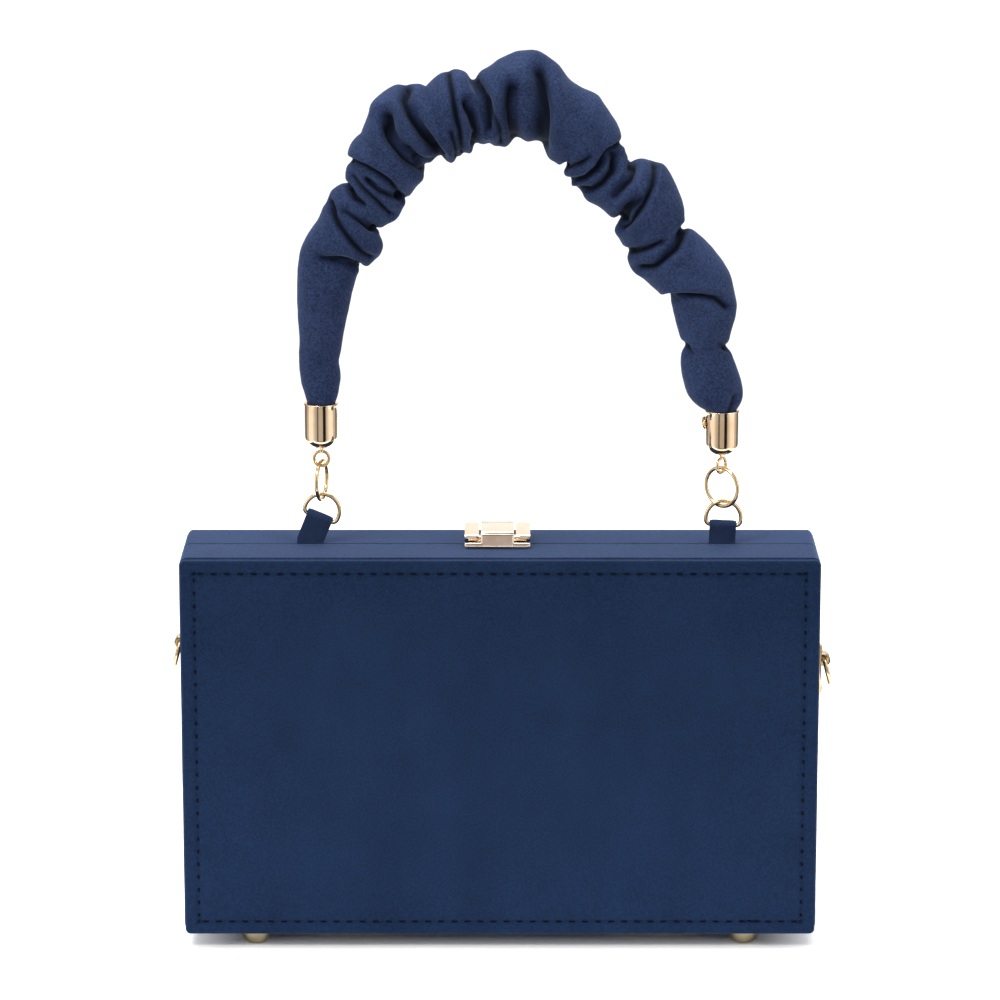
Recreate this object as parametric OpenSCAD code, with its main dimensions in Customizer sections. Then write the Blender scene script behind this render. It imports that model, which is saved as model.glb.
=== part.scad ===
// Hard-shell box clutch purse with a ruched scrunchie handle.
// +X to the right, the front faces -Y, +Z up. The origin lies on the resting plane, under the middle.
// The two case halves meet at the plane y = 0 and turn on hinges under the bottom.

/* [Case] */
// Width of the closed case
case_w = 200; // [150:1:260]
// Height of the case without its feet
case_h = 122; // [90:1:170]
// Depth of the closed case, panels included
case_d = 42; // [34:1:70]
// Thickness of the board walls
board_t = 2; // [1.5:0.1:3]
// Thickness of the suede cover
suede_t = 0.6; // [0.4:0.1:1]
// Thickness of the padded lining
lining_t = 1.5; // [1.3:0.1:2.5]
// Gap between the rims of the two halves
seam_gap = 0.3; // [0.2:0.05:0.6]
// Radius of the outer corners of the case, seen from the front
corner_r = 2.6; // [2:0.1:5]

/* [Panels] */
// Thickness of the padded panel on each face
panel_t = 2.6; // [2.2:0.1:4]
// How far the panel stops short of the case's edge
panel_inset = 0.4; // [0:0.1:2]
// Thickness of the card inside the panel
card_t = 1.1; // [0.8:0.1:1.6]
// Width of the padded border around the card
card_border = 5; // [3:0.5:10]

/* [Feet and bottom hinges] */
// Height of the feet
foot_h = 4.8; // [4.2:0.1:8]
// Diameter of a foot
foot_dia = 9.8; // [7:0.1:14]
// Distance from the middle to each foot along the width
foot_x = 77.5; // [50:0.5:85]
// Distance from the seam to each foot
foot_y = 14; // [9:0.5:15]
// Distance from the middle to each hinge
hinge_x = 48; // [30:1:60]
// Length of a hinge
hinge_len = 26; // [20:1:40]
// Width of a hinge leaf, from the seam
leaf_w = 8; // [6:0.5:8.5]
// Thickness of a hinge leaf
leaf_t = 0.8; // [0.6:0.1:1]
// Radius of the hinge knuckles
knuckle_r = 1.4; // [1.2:0.1:1.6]
// Radius of the hinge pins
hinge_pin_r = 0.7; // [0.5:0.05:0.8]

/* [Clasp] */
// Sideways place of the clasp
clasp_x = -0.8; // [-10:0.1:10]
// Width of the lever's crossbar
clasp_w = 20.6; // [18:0.1:30]
// Width of the lever's stem
stem_w = 10.4; // [9:0.1:13]
// Width of each arm of the base
arm_w = 4.5; // [3.5:0.1:4.6]
// How far the clasp reaches behind the seam
clasp_back = 8.5; // [7:0.1:9.5]
// Height of the lever's top above the case
clasp_h = 5.3; // [5:0.1:6.5]
// Thickness of the lever's metal
lever_t = 1.1; // [0.9:0.05:1.3]
// Distance of the lever's pin in front of the seam
clasp_pin_y = 3.2; // [2.8:0.1:4]
// Height of the lever's pin above the case
clasp_pin_z = 2.75; // [2.6:0.05:3]
// Radius of the lever's pin
clasp_pin_r = 0.55; // [0.4:0.05:0.65]
// Thickness of the clasp's base plate
clasp_base_t = 0.9; // [0.7:0.1:1]
// Thickness of the catch plate on the front half
catch_t = 0.35; // [0.25:0.05:0.4]

/* [Handle tabs and rings] */
// Width of a tab
tab_w = 8.3; // [6:0.1:10]
// Thickness of a tab, both layers
tab_t = 1.8; // [1.4:0.1:2.2]
// Thickness of the wire of the D-rings and round links
wire_d = 1.3; // [1:0.1:1.7]
// Radius of the D-ring's arc at the middle of its wire
dring_r = 5.5; // [5:0.1:7]
// Length of the D-ring's straight legs
dring_leg = 2.2; // [1:0.1:3]
// Radius of a round link at the middle of its wire
link_r = 6.15; // [5.5:0.05:7]
// Thickness of the wire of the eyes
eye_wire_d = 1.1; // [0.9:0.1:1.3]
// Radius of an eye at the middle of its wire
eye_r = 2.35; // [2.2:0.05:3]
// Height of the left D-ring's bar above the case
left_bar_z = 8.3; // [7:0.1:10]
// Height of the right D-ring's bar above the case
right_bar_z = 5.9; // [5:0.1:8]
// Sideways lean of the left tab and its D-ring
left_lean = 22; // [0:1:25]
// Sideways lean of the right tab and its D-ring
right_lean = 3; // [0:1:25]
// Turn of the left link about the vertical
left_link_turn = 77; // [60:1:90]
// Turn of the right link about the vertical
right_link_turn = -40; // [-60:1:-38]
// Turn of the right eye about the vertical
right_eye_turn = 53; // [40:1:60]
// Sideways place of the left D-ring, link, eye and cap
left_chain_x = -56; // [-80:0.5:-40]
// Sideways place of the right D-ring, link, eye and cap
right_chain_x = 69.5; // [40:0.5:80]

/* [Handle] */
// Outer diameter of the end caps
cap_dia = 10.3; // [9:0.1:13]
// Length of the end caps
cap_len = 14.2; // [11:0.1:18]
// Wall of the end caps
cap_wall = 0.7; // [0.5:0.1:0.9]
// Height of the handle's arch, from the caps' rims to the middle of the sleeve
arch_h = 100; // [70:1:130]
// Radius of the cord inside the sleeve
core_r = 2.2; // [1.5:0.1:2.6]
// Fullness of the ruched sleeve, 1 as made
sleeve_fullness = 1; // [0.85:0.05:1.15]

/* [Side strap rings] */
// Height of the clips above the case's bottom
clip_z = 87.5; // [60:0.5:100]
// Distance of the clips from the seam
clip_y = 10.4; // [8:0.1:12]
// Thickness of a clip's plate
clip_t = 0.8; // [0.6:0.1:1]
// Length of a clip's plate
clip_len = 16.4; // [14:0.1:20]
// Width of a clip's plate
clip_w = 7; // [5:0.1:9]
// Outer radius of a clip's bridge
bridge_r = 1.9; // [1.7:0.1:2.4]
// Thickness of the side rings' wire
side_wire_d = 1.5; // [1.2:0.1:1.7]
// Inner width of the side rings
side_ring_w = 9; // [8:0.5:14]
// Drop of the side rings below their bar
side_ring_drop = 8; // [6:0.1:12]
// Outward tilt at which the side rings hang
side_ring_tilt = 14; // [10:1:20]

/* [Hidden] */

SUEDE = "#1c3157";
GOLD = "#e3b98b";
BOARD = "#8d8577";
LINING = "#20242c";

// Clearances
run_gap = 0.05;      // pins, screws and shanks in their holes
part_gap = 0.1;      // pieces that pass close by
chain_gap = 0.35;    // wires of two linked rings
knuckle_gap = 0.2;   // ends of neighbouring knuckles

// Levels and faces of the case
bottom_z = foot_h;
top_z = foot_h + case_h;
rim_y = seam_gap / 2;
face_y = case_d / 2 - panel_t;
board_y = rim_y + suede_t;
tray_w = case_w - 2 * suede_t;
tray_h = case_h - 2 * suede_t;
inner_w = tray_w - 2 * board_t;
inner_h = tray_h - 2 * board_t;
mid_z = bottom_z + case_h / 2;
inner_top_z = top_z - suede_t - board_t;

// Bottom hinges: the axis lies just under the seam
hinge_z = bottom_z - knuckle_r - part_gap;
knuckle_len = (hinge_len - 2 * knuckle_gap) / 3;
screw_r = 0.7;
screw_head_r = 1.2;
screw_head_t = 0.6;
screw_y = leaf_w * 0.6;
screw_dx = hinge_len / 2 - 4;
screw_len = leaf_t + suede_t + board_t - 0.3;
pin_head_t = 0.5;

// Feet
foot_flat_r = foot_dia * 0.22;
foot_rim_h = 0.7;
foot_shank_r = 1.1;

// Clasp
arm_x = clasp_w / 2 - arm_w;
nose_r = clasp_pin_r + 0.55;
arm_top_z = clasp_h - 0.5;
lever_half = stem_w / 2;
lever_front_y = clasp_pin_y + nose_r + 1.9;
lever_gap = catch_t + 0.2;
crossbar_h = 1.3;
crossbar_t = 1.3;
rivet_x = (lever_half + 2.2) / 2 + 0.3;
rivet_y = clasp_back * 0.5;
rivet_r = 0.6;
rivet_head_r = 1;
rivet_head_t = 0.4;
spring_w = 4;
spring_t = 0.25;
spring_y0 = 1.2;
spring_y1 = clasp_back - 1.2;
spring_rise = clasp_h - lever_t - clasp_base_t - spring_t - part_gap;
spring_run = spring_y1 - spring_y0;
spring_r = (spring_run * spring_run + spring_rise * spring_rise) / (2 * spring_rise);
spring_arc = atan2(spring_run, spring_r - spring_rise);

// Handle tabs, rings and caps
wire_r = wire_d / 2;
eye_wire_r = eye_wire_d / 2;
chain_y = rim_y + tab_t / 2 + part_gap / 2;
tab_foot_z = top_z + tab_t / 2 + part_gap;
tab_loop_r = wire_r + run_gap + tab_t * 0.42;
anchor_t = 1;
anchor_run = 14;
right_offset = 0.8;   // the right D-ring sits this far outside its cap
left_bar = [left_chain_x - dring_leg * sin(left_lean), top_z + left_bar_z];
right_bar = [right_chain_x + right_offset - dring_leg * sin(right_lean), top_z + right_bar_z];
left_arc = left_bar + dring_leg * [sin(left_lean), cos(left_lean)];
right_arc = right_bar + dring_leg * [sin(right_lean), cos(right_lean)];
link_step = 2 * wire_r + chain_gap;
eye_step = wire_r + eye_wire_r + chain_gap;
left_link_z = left_arc[1] + dring_r - link_step + link_r;
right_link_z = right_arc[1] + dring_r - link_step + link_r;
left_eye_z = left_link_z + link_r - eye_step + eye_r;
right_eye_z = right_link_z + link_r - eye_step + eye_r;
eye_neck = 0.8;
left_cap_z = left_eye_z + eye_r + eye_wire_r + eye_neck;
right_cap_z = right_eye_z + eye_r + eye_wire_r + eye_neck;
right_link_x = right_chain_x + right_offset / 4;
shank_r = 0.9;
shank_head_r = 2;
shank_head_t = 0.6;
cap_floor = 1.3;
set_screw_r = 1;
set_screw_head_r = 2.1;
set_screw_drop = 4.2;

// The sleeve's middle line, as shares of the span between the caps and of the arch's height,
// followed by the sleeve's radius there in millimetres
span = right_chain_x - left_chain_x;
rim_left_z = left_cap_z + cap_len;
rim_right_z = right_cap_z + cap_len;
ARCH = [[0, -0.04, 3.8], [0, 0.012, 3.9], [-0.005, 0.065, 5.6], [-0.01, 0.14, 6.4], [0.005, 0.27, 7.4],
        [0.03, 0.42, 9], [0.09, 0.57, 9.6], [0.16, 0.73, 10.6], [0.235, 0.88, 11.8], [0.33, 0.955, 11.6],
        [0.42, 0.985, 11.4], [0.51, 1, 12.4], [0.6, 0.95, 11.8], [0.67, 0.86, 11.8], [0.74, 0.75, 9.6],
        [0.82, 0.64, 11.6], [0.89, 0.51, 10.4], [0.945, 0.37, 9.8], [0.965, 0.24, 7.4], [0.97, 0.14, 7.6],
        [0.99, 0.065, 6.4], [1, 0.012, 3.9], [1, -0.04, 3.8]];
SLEEVE_SIDES = 14;
CORE_SIDES = 10;
STEPS_PER_SPAN = 2;

// Side clips and rings
side_wire_r = side_wire_d / 2;
bar_x = case_w / 2 + clip_t + side_wire_r + run_gap + 0.3;
clip_level = bottom_z + clip_z;
clip_bar_z = clip_level;
bridge_w = side_ring_w - 4;
clip_rivet_r = 0.6;
clip_rivet_head_r = 1.3;
clip_rivet_head_t = 0.5;
clip_plate_top = 4.6;
clip_rivet_top = 3.2;
clip_rivet_low = clip_len - clip_plate_top - 1.9;

// ---------------------------------------------------------------- helpers

// A flat rectangle with round corners, centred
module round_rect(w, h, r) {
    square([w - 2 * r, h], center = true);
    square([w, h - 2 * r], center = true);
    for (x = [-1, 1], z = [-1, 1])
        translate([x * (w / 2 - r), z * (h / 2 - r)]) circle(r = r, $fn = 48);
}

// A slab that stands in the XZ plane, from y0 to y1, around the middle of the case
module slab(w, h, r, y0, y1) {
    translate([0, y1, mid_z]) rotate([90, 0, 0]) linear_extrude(y1 - y0) round_rect(w, h, r);
}

module block(x0, x1, y0, y1, z0, z1) {
    translate([x0, y0, z0]) cube([x1 - x0, y1 - y0, z1 - z0]);
}

// A cylinder along X whose middle lies at x
module rod_x(x, y, z, r, len) {
    translate([x, y, z]) rotate([0, 90, 0]) cylinder(r = r, h = len, center = true, $fn = 48);
}

// A cylinder along Y whose middle lies at y
module rod_y(x, y, z, r, len) {
    translate([x, y, z]) rotate([90, 0, 0]) cylinder(r = r, h = len, center = true, $fn = 48);
}

module front_half() {
    mirror([0, 1, 0]) children();
}

module left_side() {
    mirror([1, 0, 0]) children();
}

// ---------------------------------------------------------------- case halves, drawn as the back half

// Places of the holes that pass through a half's bottom and its cover
module bottom_holes() {
    for (x = [-foot_x, foot_x])
        translate([x, foot_y, bottom_z - 1])
            cylinder(r = foot_shank_r + run_gap, h = 1 + suede_t + board_t + 1, $fn = 48);
    for (x = [-hinge_x, hinge_x], dx = [-screw_dx, screw_dx])
        translate([x + dx, screw_y, bottom_z - leaf_t - 1])
            cylinder(r = screw_r + run_gap, h = 1 + screw_len + part_gap, $fn = 48);
}

// Slots in the top through which the tabs leave
module tab_slots() {
    for (x = [left_tab_x(), right_tab_x()])
        block(x - anchor_half() - part_gap, x + anchor_half() + part_gap, -1, rim_y + tab_t + part_gap,
              inner_top_z - 1, top_z + 1);
}

module top_rivet_holes() {
    for (x = [-rivet_x, rivet_x])
        translate([clasp_x + x, rivet_y, top_z - suede_t - board_t - 1])
            cylinder(r = rivet_r + run_gap, h = suede_t + board_t + 2, $fn = 48);
}

module side_rivet_holes(side) {
    for (z = [clip_level + clip_rivet_top, clip_level - clip_rivet_low])
        rod_x(side * case_w / 2, clip_y, z, clip_rivet_r + run_gap, 2 * (suede_t + board_t) + 2);
}

module tray() {
    difference() {
        slab(tray_w, tray_h, corner_r - suede_t, board_y, face_y);
        slab(inner_w, inner_h, 0.5, board_y - 1, face_y - board_t);
        bottom_holes();
    }
}

module cover() {
    difference() {
        slab(case_w, case_h, corner_r, rim_y, face_y);
        slab(tray_w, tray_h, corner_r - suede_t, board_y, face_y + 1);
        slab(inner_w, inner_h, 0.5, rim_y - 1, board_y + 1);
        bottom_holes();
    }
}

module panel_card() {
    slab(case_w - 2 * (panel_inset + card_border), case_h - 2 * (panel_inset + card_border), corner_r,
         face_y, face_y + card_t);
}

// A padded panel whose front edge is rounded
module panel() {
    w = case_w - 2 * panel_inset;
    h = case_h - 2 * panel_inset;
    front_y = face_y + panel_t;
    difference() {
        hull() {
            slab(w, h, corner_r, face_y, front_y - 1.2);
            slab(w - 0.7, h - 0.7, corner_r, face_y, front_y - 0.45);
            slab(w - 2.4, h - 2.4, corner_r, face_y, front_y);
        }
        slab(case_w - 2 * (panel_inset + card_border), case_h - 2 * (panel_inset + card_border), corner_r,
             face_y - 1, face_y + card_t);
    }
}

module lining() {
    difference() {
        slab(inner_w, inner_h, 0.5, board_y + 0.6, face_y - board_t);
        slab(inner_w - 2 * lining_t, inner_h - 2 * lining_t, 3, rim_y - 1, face_y - board_t - lining_t);
    }
}

module back_tray() color(BOARD) difference() {
    tray();
    tab_slots();
    top_rivet_holes();
    side_rivet_holes(-1);
}

module back_cover() color(SUEDE) difference() {
    cover();
    tab_slots();
    top_rivet_holes();
    side_rivet_holes(-1);
}

module back_panel_card() color(BOARD) panel_card();

module back_panel() color(SUEDE) panel();

module back_lining() color(LINING) difference() {
    lining();
    for (x = [left_tab_x(), right_tab_x()])
        block(x - anchor_half() - part_gap, x + anchor_half() + part_gap, -1, anchor_run + part_gap,
              inner_top_z - anchor_t - part_gap, inner_top_z + 1);
}

module front_tray() color(BOARD) front_half() difference() {
    tray();
    catch_prong_holes();
    side_rivet_holes(1);
}

module front_cover() color(SUEDE) front_half() difference() {
    cover();
    catch_prong_holes();
    side_rivet_holes(1);
}

module front_panel_card() color(BOARD) front_half() panel_card();

module front_panel() color(SUEDE) front_half() panel();

module front_lining() color(LINING) front_half() lining();

// ---------------------------------------------------------------- bottom hinges

// Three knuckles: the outer two belong to the back leaf and the middle one to the front leaf
function knuckle_at(i) = (i - 1) * (knuckle_len + knuckle_gap);

module knuckle(x, i) {
    rod_x(x + knuckle_at(i), 0, hinge_z, knuckle_r, knuckle_len);
}

module knuckle_room(x, i) {
    rod_x(x + knuckle_at(i), 0, hinge_z, knuckle_r + knuckle_gap, knuckle_len + 2 * knuckle_gap);
}

// A leaf that owns the knuckles in list own and keeps clear of those in list other
module hinge_leaf(x, own, other) {
    difference() {
        union() {
            difference() {
                block(x - hinge_len / 2, x + hinge_len / 2, 0.2, leaf_w, bottom_z - leaf_t, bottom_z);
                for (i = other) knuckle_room(x, i);
            }
            for (i = own) {
                knuckle(x, i);
                block(x + knuckle_at(i) - knuckle_len / 2, x + knuckle_at(i) + knuckle_len / 2,
                      0, 1.5, bottom_z - leaf_t, hinge_z + knuckle_r);
            }
        }
        rod_x(x, 0, hinge_z, hinge_pin_r + run_gap, hinge_len + 2);
        for (dx = [-screw_dx, screw_dx])
            translate([x + dx, screw_y, bottom_z - leaf_t - 1])
                cylinder(r = screw_r + run_gap, h = leaf_t + 2, $fn = 48);
    }
}

module hinge_screws() {
    for (x = [-hinge_x, hinge_x], dx = [-screw_dx, screw_dx])
        translate([x + dx, screw_y, bottom_z - leaf_t]) {
            difference() {
                translate([0, 0, -screw_head_t]) cylinder(r = screw_head_r, h = screw_head_t, $fn = 48);
                translate([0, 0, -screw_head_t]) cube([2.6, 0.35, 0.5], center = true);
            }
            cylinder(r = screw_r, h = screw_len, $fn = 48);
        }
}

module back_hinge_leaves() color(GOLD) for (x = [-hinge_x, hinge_x]) hinge_leaf(x, [0, 2], [1]);

module front_hinge_leaves() color(GOLD) front_half() for (x = [-hinge_x, hinge_x]) hinge_leaf(x, [1], [0, 2]);

module hinge_pins() color(GOLD) for (x = [-hinge_x, hinge_x]) {
    rod_x(x, 0, hinge_z, hinge_pin_r, hinge_len + 2 * run_gap);
    for (s = [-1, 1])
        rod_x(x + s * (hinge_len / 2 + run_gap + pin_head_t / 2), 0, hinge_z, knuckle_r - 0.2, pin_head_t);
}

module back_hinge_screws() color(GOLD) hinge_screws();

module front_hinge_screws() color(GOLD) front_half() hinge_screws();

// ---------------------------------------------------------------- feet

// Half of a domed stud's outline: rim, dome as an arc of an ellipse, and a small flat to stand on
function foot_profile() = concat(
    [[0, 0], [foot_dia / 2, 0]],
    [for (a = [0 : 11.25 : 90])
        [foot_flat_r + (foot_dia / 2 - foot_flat_r) * cos(a), -foot_rim_h - (foot_h - foot_rim_h) * sin(a)]],
    [[0, -foot_h]]);

module feet() {
    for (x = [-foot_x, foot_x])
        translate([x, foot_y, bottom_z]) {
            rotate_extrude($fn = 64) polygon(foot_profile());
            cylinder(r = foot_shank_r, h = suede_t + board_t, $fn = 48);
        }
}

module back_feet() color(GOLD) feet();

module front_feet() color(GOLD) front_half() feet();

// ---------------------------------------------------------------- clasp

// Outline of an arm in the YZ plane, measured from the seam and the case's top
function arm_outline() = [[clasp_back, 0], [clasp_back, arm_top_z],
    [-clasp_pin_y, clasp_pin_z + nose_r], [-clasp_pin_y, clasp_pin_z - nose_r],
    [0.3, clasp_pin_z - nose_r], [rim_y + 0.2, 0]];

module clasp_arm(x) {
    translate([x - arm_w / 2, 0, top_z]) rotate([90, 0, 90]) linear_extrude(arm_w) polygon(arm_outline());
    rod_x(x, -clasp_pin_y, top_z + clasp_pin_z, nose_r, arm_w);
}

module clasp_base() color(GOLD) translate([clasp_x, 0, 0]) difference() {
    union() {
        block(-arm_x - 1, arm_x + 1, rim_y + 0.2, clasp_back, top_z, top_z + clasp_base_t);
        for (s = [-1, 1]) clasp_arm(s * (arm_x + arm_w / 2));
    }
    rod_x(0, -clasp_pin_y, top_z + clasp_pin_z, clasp_pin_r + run_gap, clasp_w + 2);
    for (x = [-rivet_x, rivet_x])
        translate([x, rivet_y, top_z - 1]) cylinder(r = rivet_r + run_gap, h = 3, $fn = 48);
}

module clasp_rivets() color(GOLD) for (x = [-rivet_x, rivet_x])
    translate([clasp_x + x, rivet_y, top_z]) {
        translate([0, 0, -suede_t - board_t])
            cylinder(r = rivet_r, h = suede_t + board_t + clasp_base_t, $fn = 48);
        translate([0, 0, clasp_base_t]) cylinder(r = rivet_head_r, h = rivet_head_t, $fn = 48);
    }

module clasp_pin() color(GOLD)
    rod_x(clasp_x, -clasp_pin_y, top_z + clasp_pin_z, clasp_pin_r, clasp_w - 0.2);

// Outline of the bowed leaf spring in the YZ plane
function bow(r) = [for (i = [0 : 10])
    [spring_y0 + r * sin(i * spring_arc / 10), clasp_base_t + spring_r - r * cos(i * spring_arc / 10)]];

module clasp_spring() color("silver")
    translate([clasp_x - spring_w / 2, 0, top_z]) rotate([90, 0, 90]) linear_extrude(spring_w)
        polygon(concat(bow(spring_r), [for (i = [10 : -1 : 0]) bow(spring_r - spring_t)[i]]));

// Outline of the lever's bent plate in the YZ plane: tail, round shoulder and front
function lever_outline() = concat(
    [[clasp_back, clasp_h], [clasp_back, clasp_h - lever_t]],
    [for (a = [90 : 15 : 180])
        [-lever_front_y + 2.4 + (1.6 - lever_t / 2) * cos(a), clasp_h - 1.6 + (1.6 - lever_t) * sin(a)]],
    [[-lever_front_y + lever_t - 0.2, lever_gap], [-lever_front_y - 0.9, lever_gap]],
    [for (a = [170 : -16 : 90])
        [-lever_front_y + 1.6 + 1.6 * cos(a), clasp_h - 1.6 + 1.6 * sin(a)]]);

module clasp_lever() color(GOLD) translate([clasp_x, 0, 0]) difference() {
    union() {
        translate([-lever_half, 0, top_z]) rotate([90, 0, 90])
            linear_extrude(stem_w) polygon(lever_outline());
        block(-clasp_w / 2, clasp_w / 2, -lever_front_y - 0.9, -lever_front_y - 0.9 + crossbar_t,
              top_z + lever_gap, top_z + lever_gap + crossbar_h);
        rod_x(0, -clasp_pin_y, top_z + clasp_pin_z, nose_r, stem_w);
        block(-lever_half, lever_half, -clasp_pin_y - nose_r, -clasp_pin_y + nose_r,
              top_z + clasp_pin_z, top_z + clasp_h - lever_t / 2);
    }
    rod_x(0, -clasp_pin_y, top_z + clasp_pin_z, clasp_pin_r + run_gap, clasp_w + 2);
}

module catch_prong_holes() {
    for (x = [-6, 6])
        translate([clasp_x + x, 4, top_z - suede_t - board_t - 1])
            cylinder(r = 0.6 + run_gap, h = suede_t + board_t + 2, $fn = 48);
}

module clasp_catch() color(GOLD) front_half() {
    block(clasp_x - clasp_w / 2 + 1, clasp_x + clasp_w / 2 - 1, rim_y + 0.25, lever_front_y - 0.4,
          top_z, top_z + catch_t);
    for (x = [-6, 6])
        translate([clasp_x + x, 4, top_z - suede_t - board_t])
            cylinder(r = 0.6, h = suede_t + board_t, $fn = 48);
}

// ---------------------------------------------------------------- handle tabs and rings

// Where a tab leaves the seam
function left_tab_x() = left_bar[0] - (left_bar_z - tab_t / 2) * tan(left_lean);
function right_tab_x() = right_bar[0] - (right_bar_z - tab_t / 2) * tan(right_lean);
function anchor_half() = tab_w / 2 / cos(max(left_lean, right_lean));

module tab_anchor(x) {
    w = anchor_half();
    block(x - w, x + w, rim_y + part_gap / 2, rim_y + tab_t, inner_top_z - anchor_t, top_z - part_gap / 2);
    block(x - w, x + w, rim_y + part_gap / 2, anchor_run, inner_top_z - anchor_t, inner_top_z);
}

// The loop of a tab: a strap that leans sideways, folded round the D-ring's bar
module tab(bar, lean, foot_x) {
    reach = (bar[1] - tab_foot_z) / cos(lean);
    difference() {
        union() {
            intersection() {
                translate([bar[0], chain_y, bar[1]]) rotate([0, lean, 0])
                    block(-tab_w / 2, tab_w / 2, -tab_t / 2, tab_t / 2, -reach - tab_w, 0);
                block(bar[0] - 3 * tab_w, bar[0] + 3 * tab_w, chain_y - tab_t, chain_y + tab_t,
                      tab_foot_z, bar[1] + tab_w);
            }
            rod_x(foot_x, chain_y, tab_foot_z, tab_t / 2, tab_w / cos(lean));
            translate([bar[0], chain_y, bar[1]]) rotate([0, lean, 0]) rod_x(0, 0, 0, tab_loop_r, tab_w);
        }
        translate([bar[0], chain_y, bar[1]]) rotate([0, lean, 0]) rod_x(0, 0, 0, wire_r + run_gap, 2 * tab_w);
    }
}

// A D-ring in the XZ plane with its bar's middle at the origin
module dring() {
    translate([0, 0, dring_leg]) rotate([90, 0, 0])
        rotate_extrude(angle = 180, $fn = 96) translate([dring_r, 0]) circle(r = wire_r, $fn = 32);
    for (s = [-1, 1]) {
        translate([s * dring_r, 0, 0]) cylinder(r = wire_r, h = dring_leg, $fn = 32);
        translate([s * dring_r, 0, 0]) sphere(r = wire_r, $fn = 32);
    }
    rotate([0, 90, 0]) cylinder(r = wire_r, h = 2 * dring_r, center = true, $fn = 32);
}

// A round wire ring that stands in the XZ plane
module wire_ring(r, wire) {
    rotate([90, 0, 0]) rotate_extrude($fn = 96) translate([r, 0]) circle(r = wire, $fn = 32);
}

module left_tab_anchor() color(SUEDE) tab_anchor(left_tab_x());

module right_tab_anchor() color(SUEDE) tab_anchor(right_tab_x());

module left_tab() color(SUEDE) tab(left_bar, left_lean, left_tab_x());

module right_tab() color(SUEDE) tab(right_bar, right_lean, right_tab_x());

module left_dring() color(GOLD)
    translate([left_bar[0], chain_y, left_bar[1]]) rotate([0, left_lean, 0]) dring();

module right_dring() color(GOLD)
    translate([right_bar[0], chain_y, right_bar[1]]) rotate([0, right_lean, 0]) dring();

module left_link() color(GOLD)
    translate([left_chain_x, chain_y, left_link_z]) rotate([0, 0, left_link_turn]) wire_ring(link_r, wire_r);

module right_link() color(GOLD)
    translate([right_link_x, chain_y, right_link_z]) rotate([0, 0, right_link_turn])
        wire_ring(link_r, wire_r);

// ---------------------------------------------------------------- eyes, caps and screws

// A screw eye whose shank stands in the cap's floor
module eye(x, z, turn) {
    translate([x, chain_y, z]) {
        rotate([0, 0, turn]) wire_ring(eye_r, eye_wire_r);
        translate([0, 0, eye_r]) cylinder(r = shank_r, h = eye_wire_r + eye_neck + cap_floor, $fn = 32);
        translate([0, 0, eye_r + eye_wire_r + eye_neck + cap_floor])
            cylinder(r = shank_head_r, h = shank_head_t, $fn = 48);
    }
}

// Half of a cap's outline: round bottom, straight wall and a slight flare at the rim
function cap_profile() = let(r = cap_dia / 2, curve = 2.6) concat(
    [[shank_r + run_gap, cap_floor], [shank_r + run_gap, 0], [r - curve - 0.4, 0]],
    [for (a = [-75 : 15 : 0]) [r - curve + curve * cos(a), curve + curve * sin(a)]],
    [[r, cap_len - 1.2], [r + 0.2, cap_len - 0.3], [r + 0.1, cap_len], [r - cap_wall, cap_len]],
    [[r - cap_wall, curve + 0.4], [r - cap_wall - 1, cap_floor]]);

module cap(x, z, screw_turn) {
    translate([x, chain_y, z]) difference() {
        rotate_extrude($fn = 96) polygon(cap_profile());
        rotate([0, 0, screw_turn]) translate([-cap_dia / 2, 0, cap_len - set_screw_drop]) rotate([0, 90, 0])
            cylinder(r = set_screw_r + run_gap, h = 3, center = true, $fn = 32);
    }
}

// A screw through the cap's wall, with a domed and slotted head
module set_screw(x, z, turn) {
    head_t = 1.3;
    translate([x, chain_y, z + cap_len - set_screw_drop]) rotate([0, 0, turn])
        translate([-cap_dia / 2 + 0.15, 0, 0]) rotate([0, -90, 0]) difference() {
            union() {
                rotate_extrude($fn = 48)
                    polygon([[0, 0.25], [set_screw_head_r, 0.25], [set_screw_head_r, 0.6],
                             [set_screw_head_r * 0.8, head_t * 0.85], [set_screw_head_r * 0.5, head_t],
                             [0, head_t]]);
                translate([0, 0, -cap_wall - 0.5]) cylinder(r = set_screw_r, h = cap_wall + 1, $fn = 32);
            }
            translate([0, 0, head_t]) cube([0.5, 3 * set_screw_head_r, 0.8], center = true);
        }
}

LEFT_SCREW_TURN = -90;
RIGHT_SCREW_TURN = 0;

module left_eye() color(GOLD) eye(left_chain_x, left_eye_z, 0);

module right_eye() color(GOLD) eye(right_chain_x, right_eye_z, right_eye_turn);

module left_cap() color(GOLD) cap(left_chain_x, left_cap_z, LEFT_SCREW_TURN);

module right_cap() color(GOLD) cap(right_chain_x, right_cap_z, RIGHT_SCREW_TURN);

module left_set_screw() color(GOLD) set_screw(left_chain_x, left_cap_z, LEFT_SCREW_TURN);

module right_set_screw() color(GOLD) set_screw(right_chain_x, right_cap_z, RIGHT_SCREW_TURN);

// ---------------------------------------------------------------- handle core and sleeve

function lerp(a, b, t) = a + (b - a) * t;

// Catmull-Rom point between p[i] and p[i + 1]
function spline_at(p, i, t) =
    let(n = len(p) - 1, a = p[max(i - 1, 0)], b = p[i], c = p[min(i + 1, n)], d = p[min(i + 2, n)])
    0.5 * (2 * b + (c - a) * t + (2 * a - 5 * b + 4 * c - d) * t * t + (3 * b - a - 3 * c + d) * t * t * t);

// The middle line as [x, z, radius], before it is smoothed
ARCH_MM = [for (p = ARCH)
    [left_chain_x + span * p[0],
     lerp(rim_left_z, rim_right_z, min(max(p[0], 0), 1)) + arch_h * p[1], p[2]]];

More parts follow.
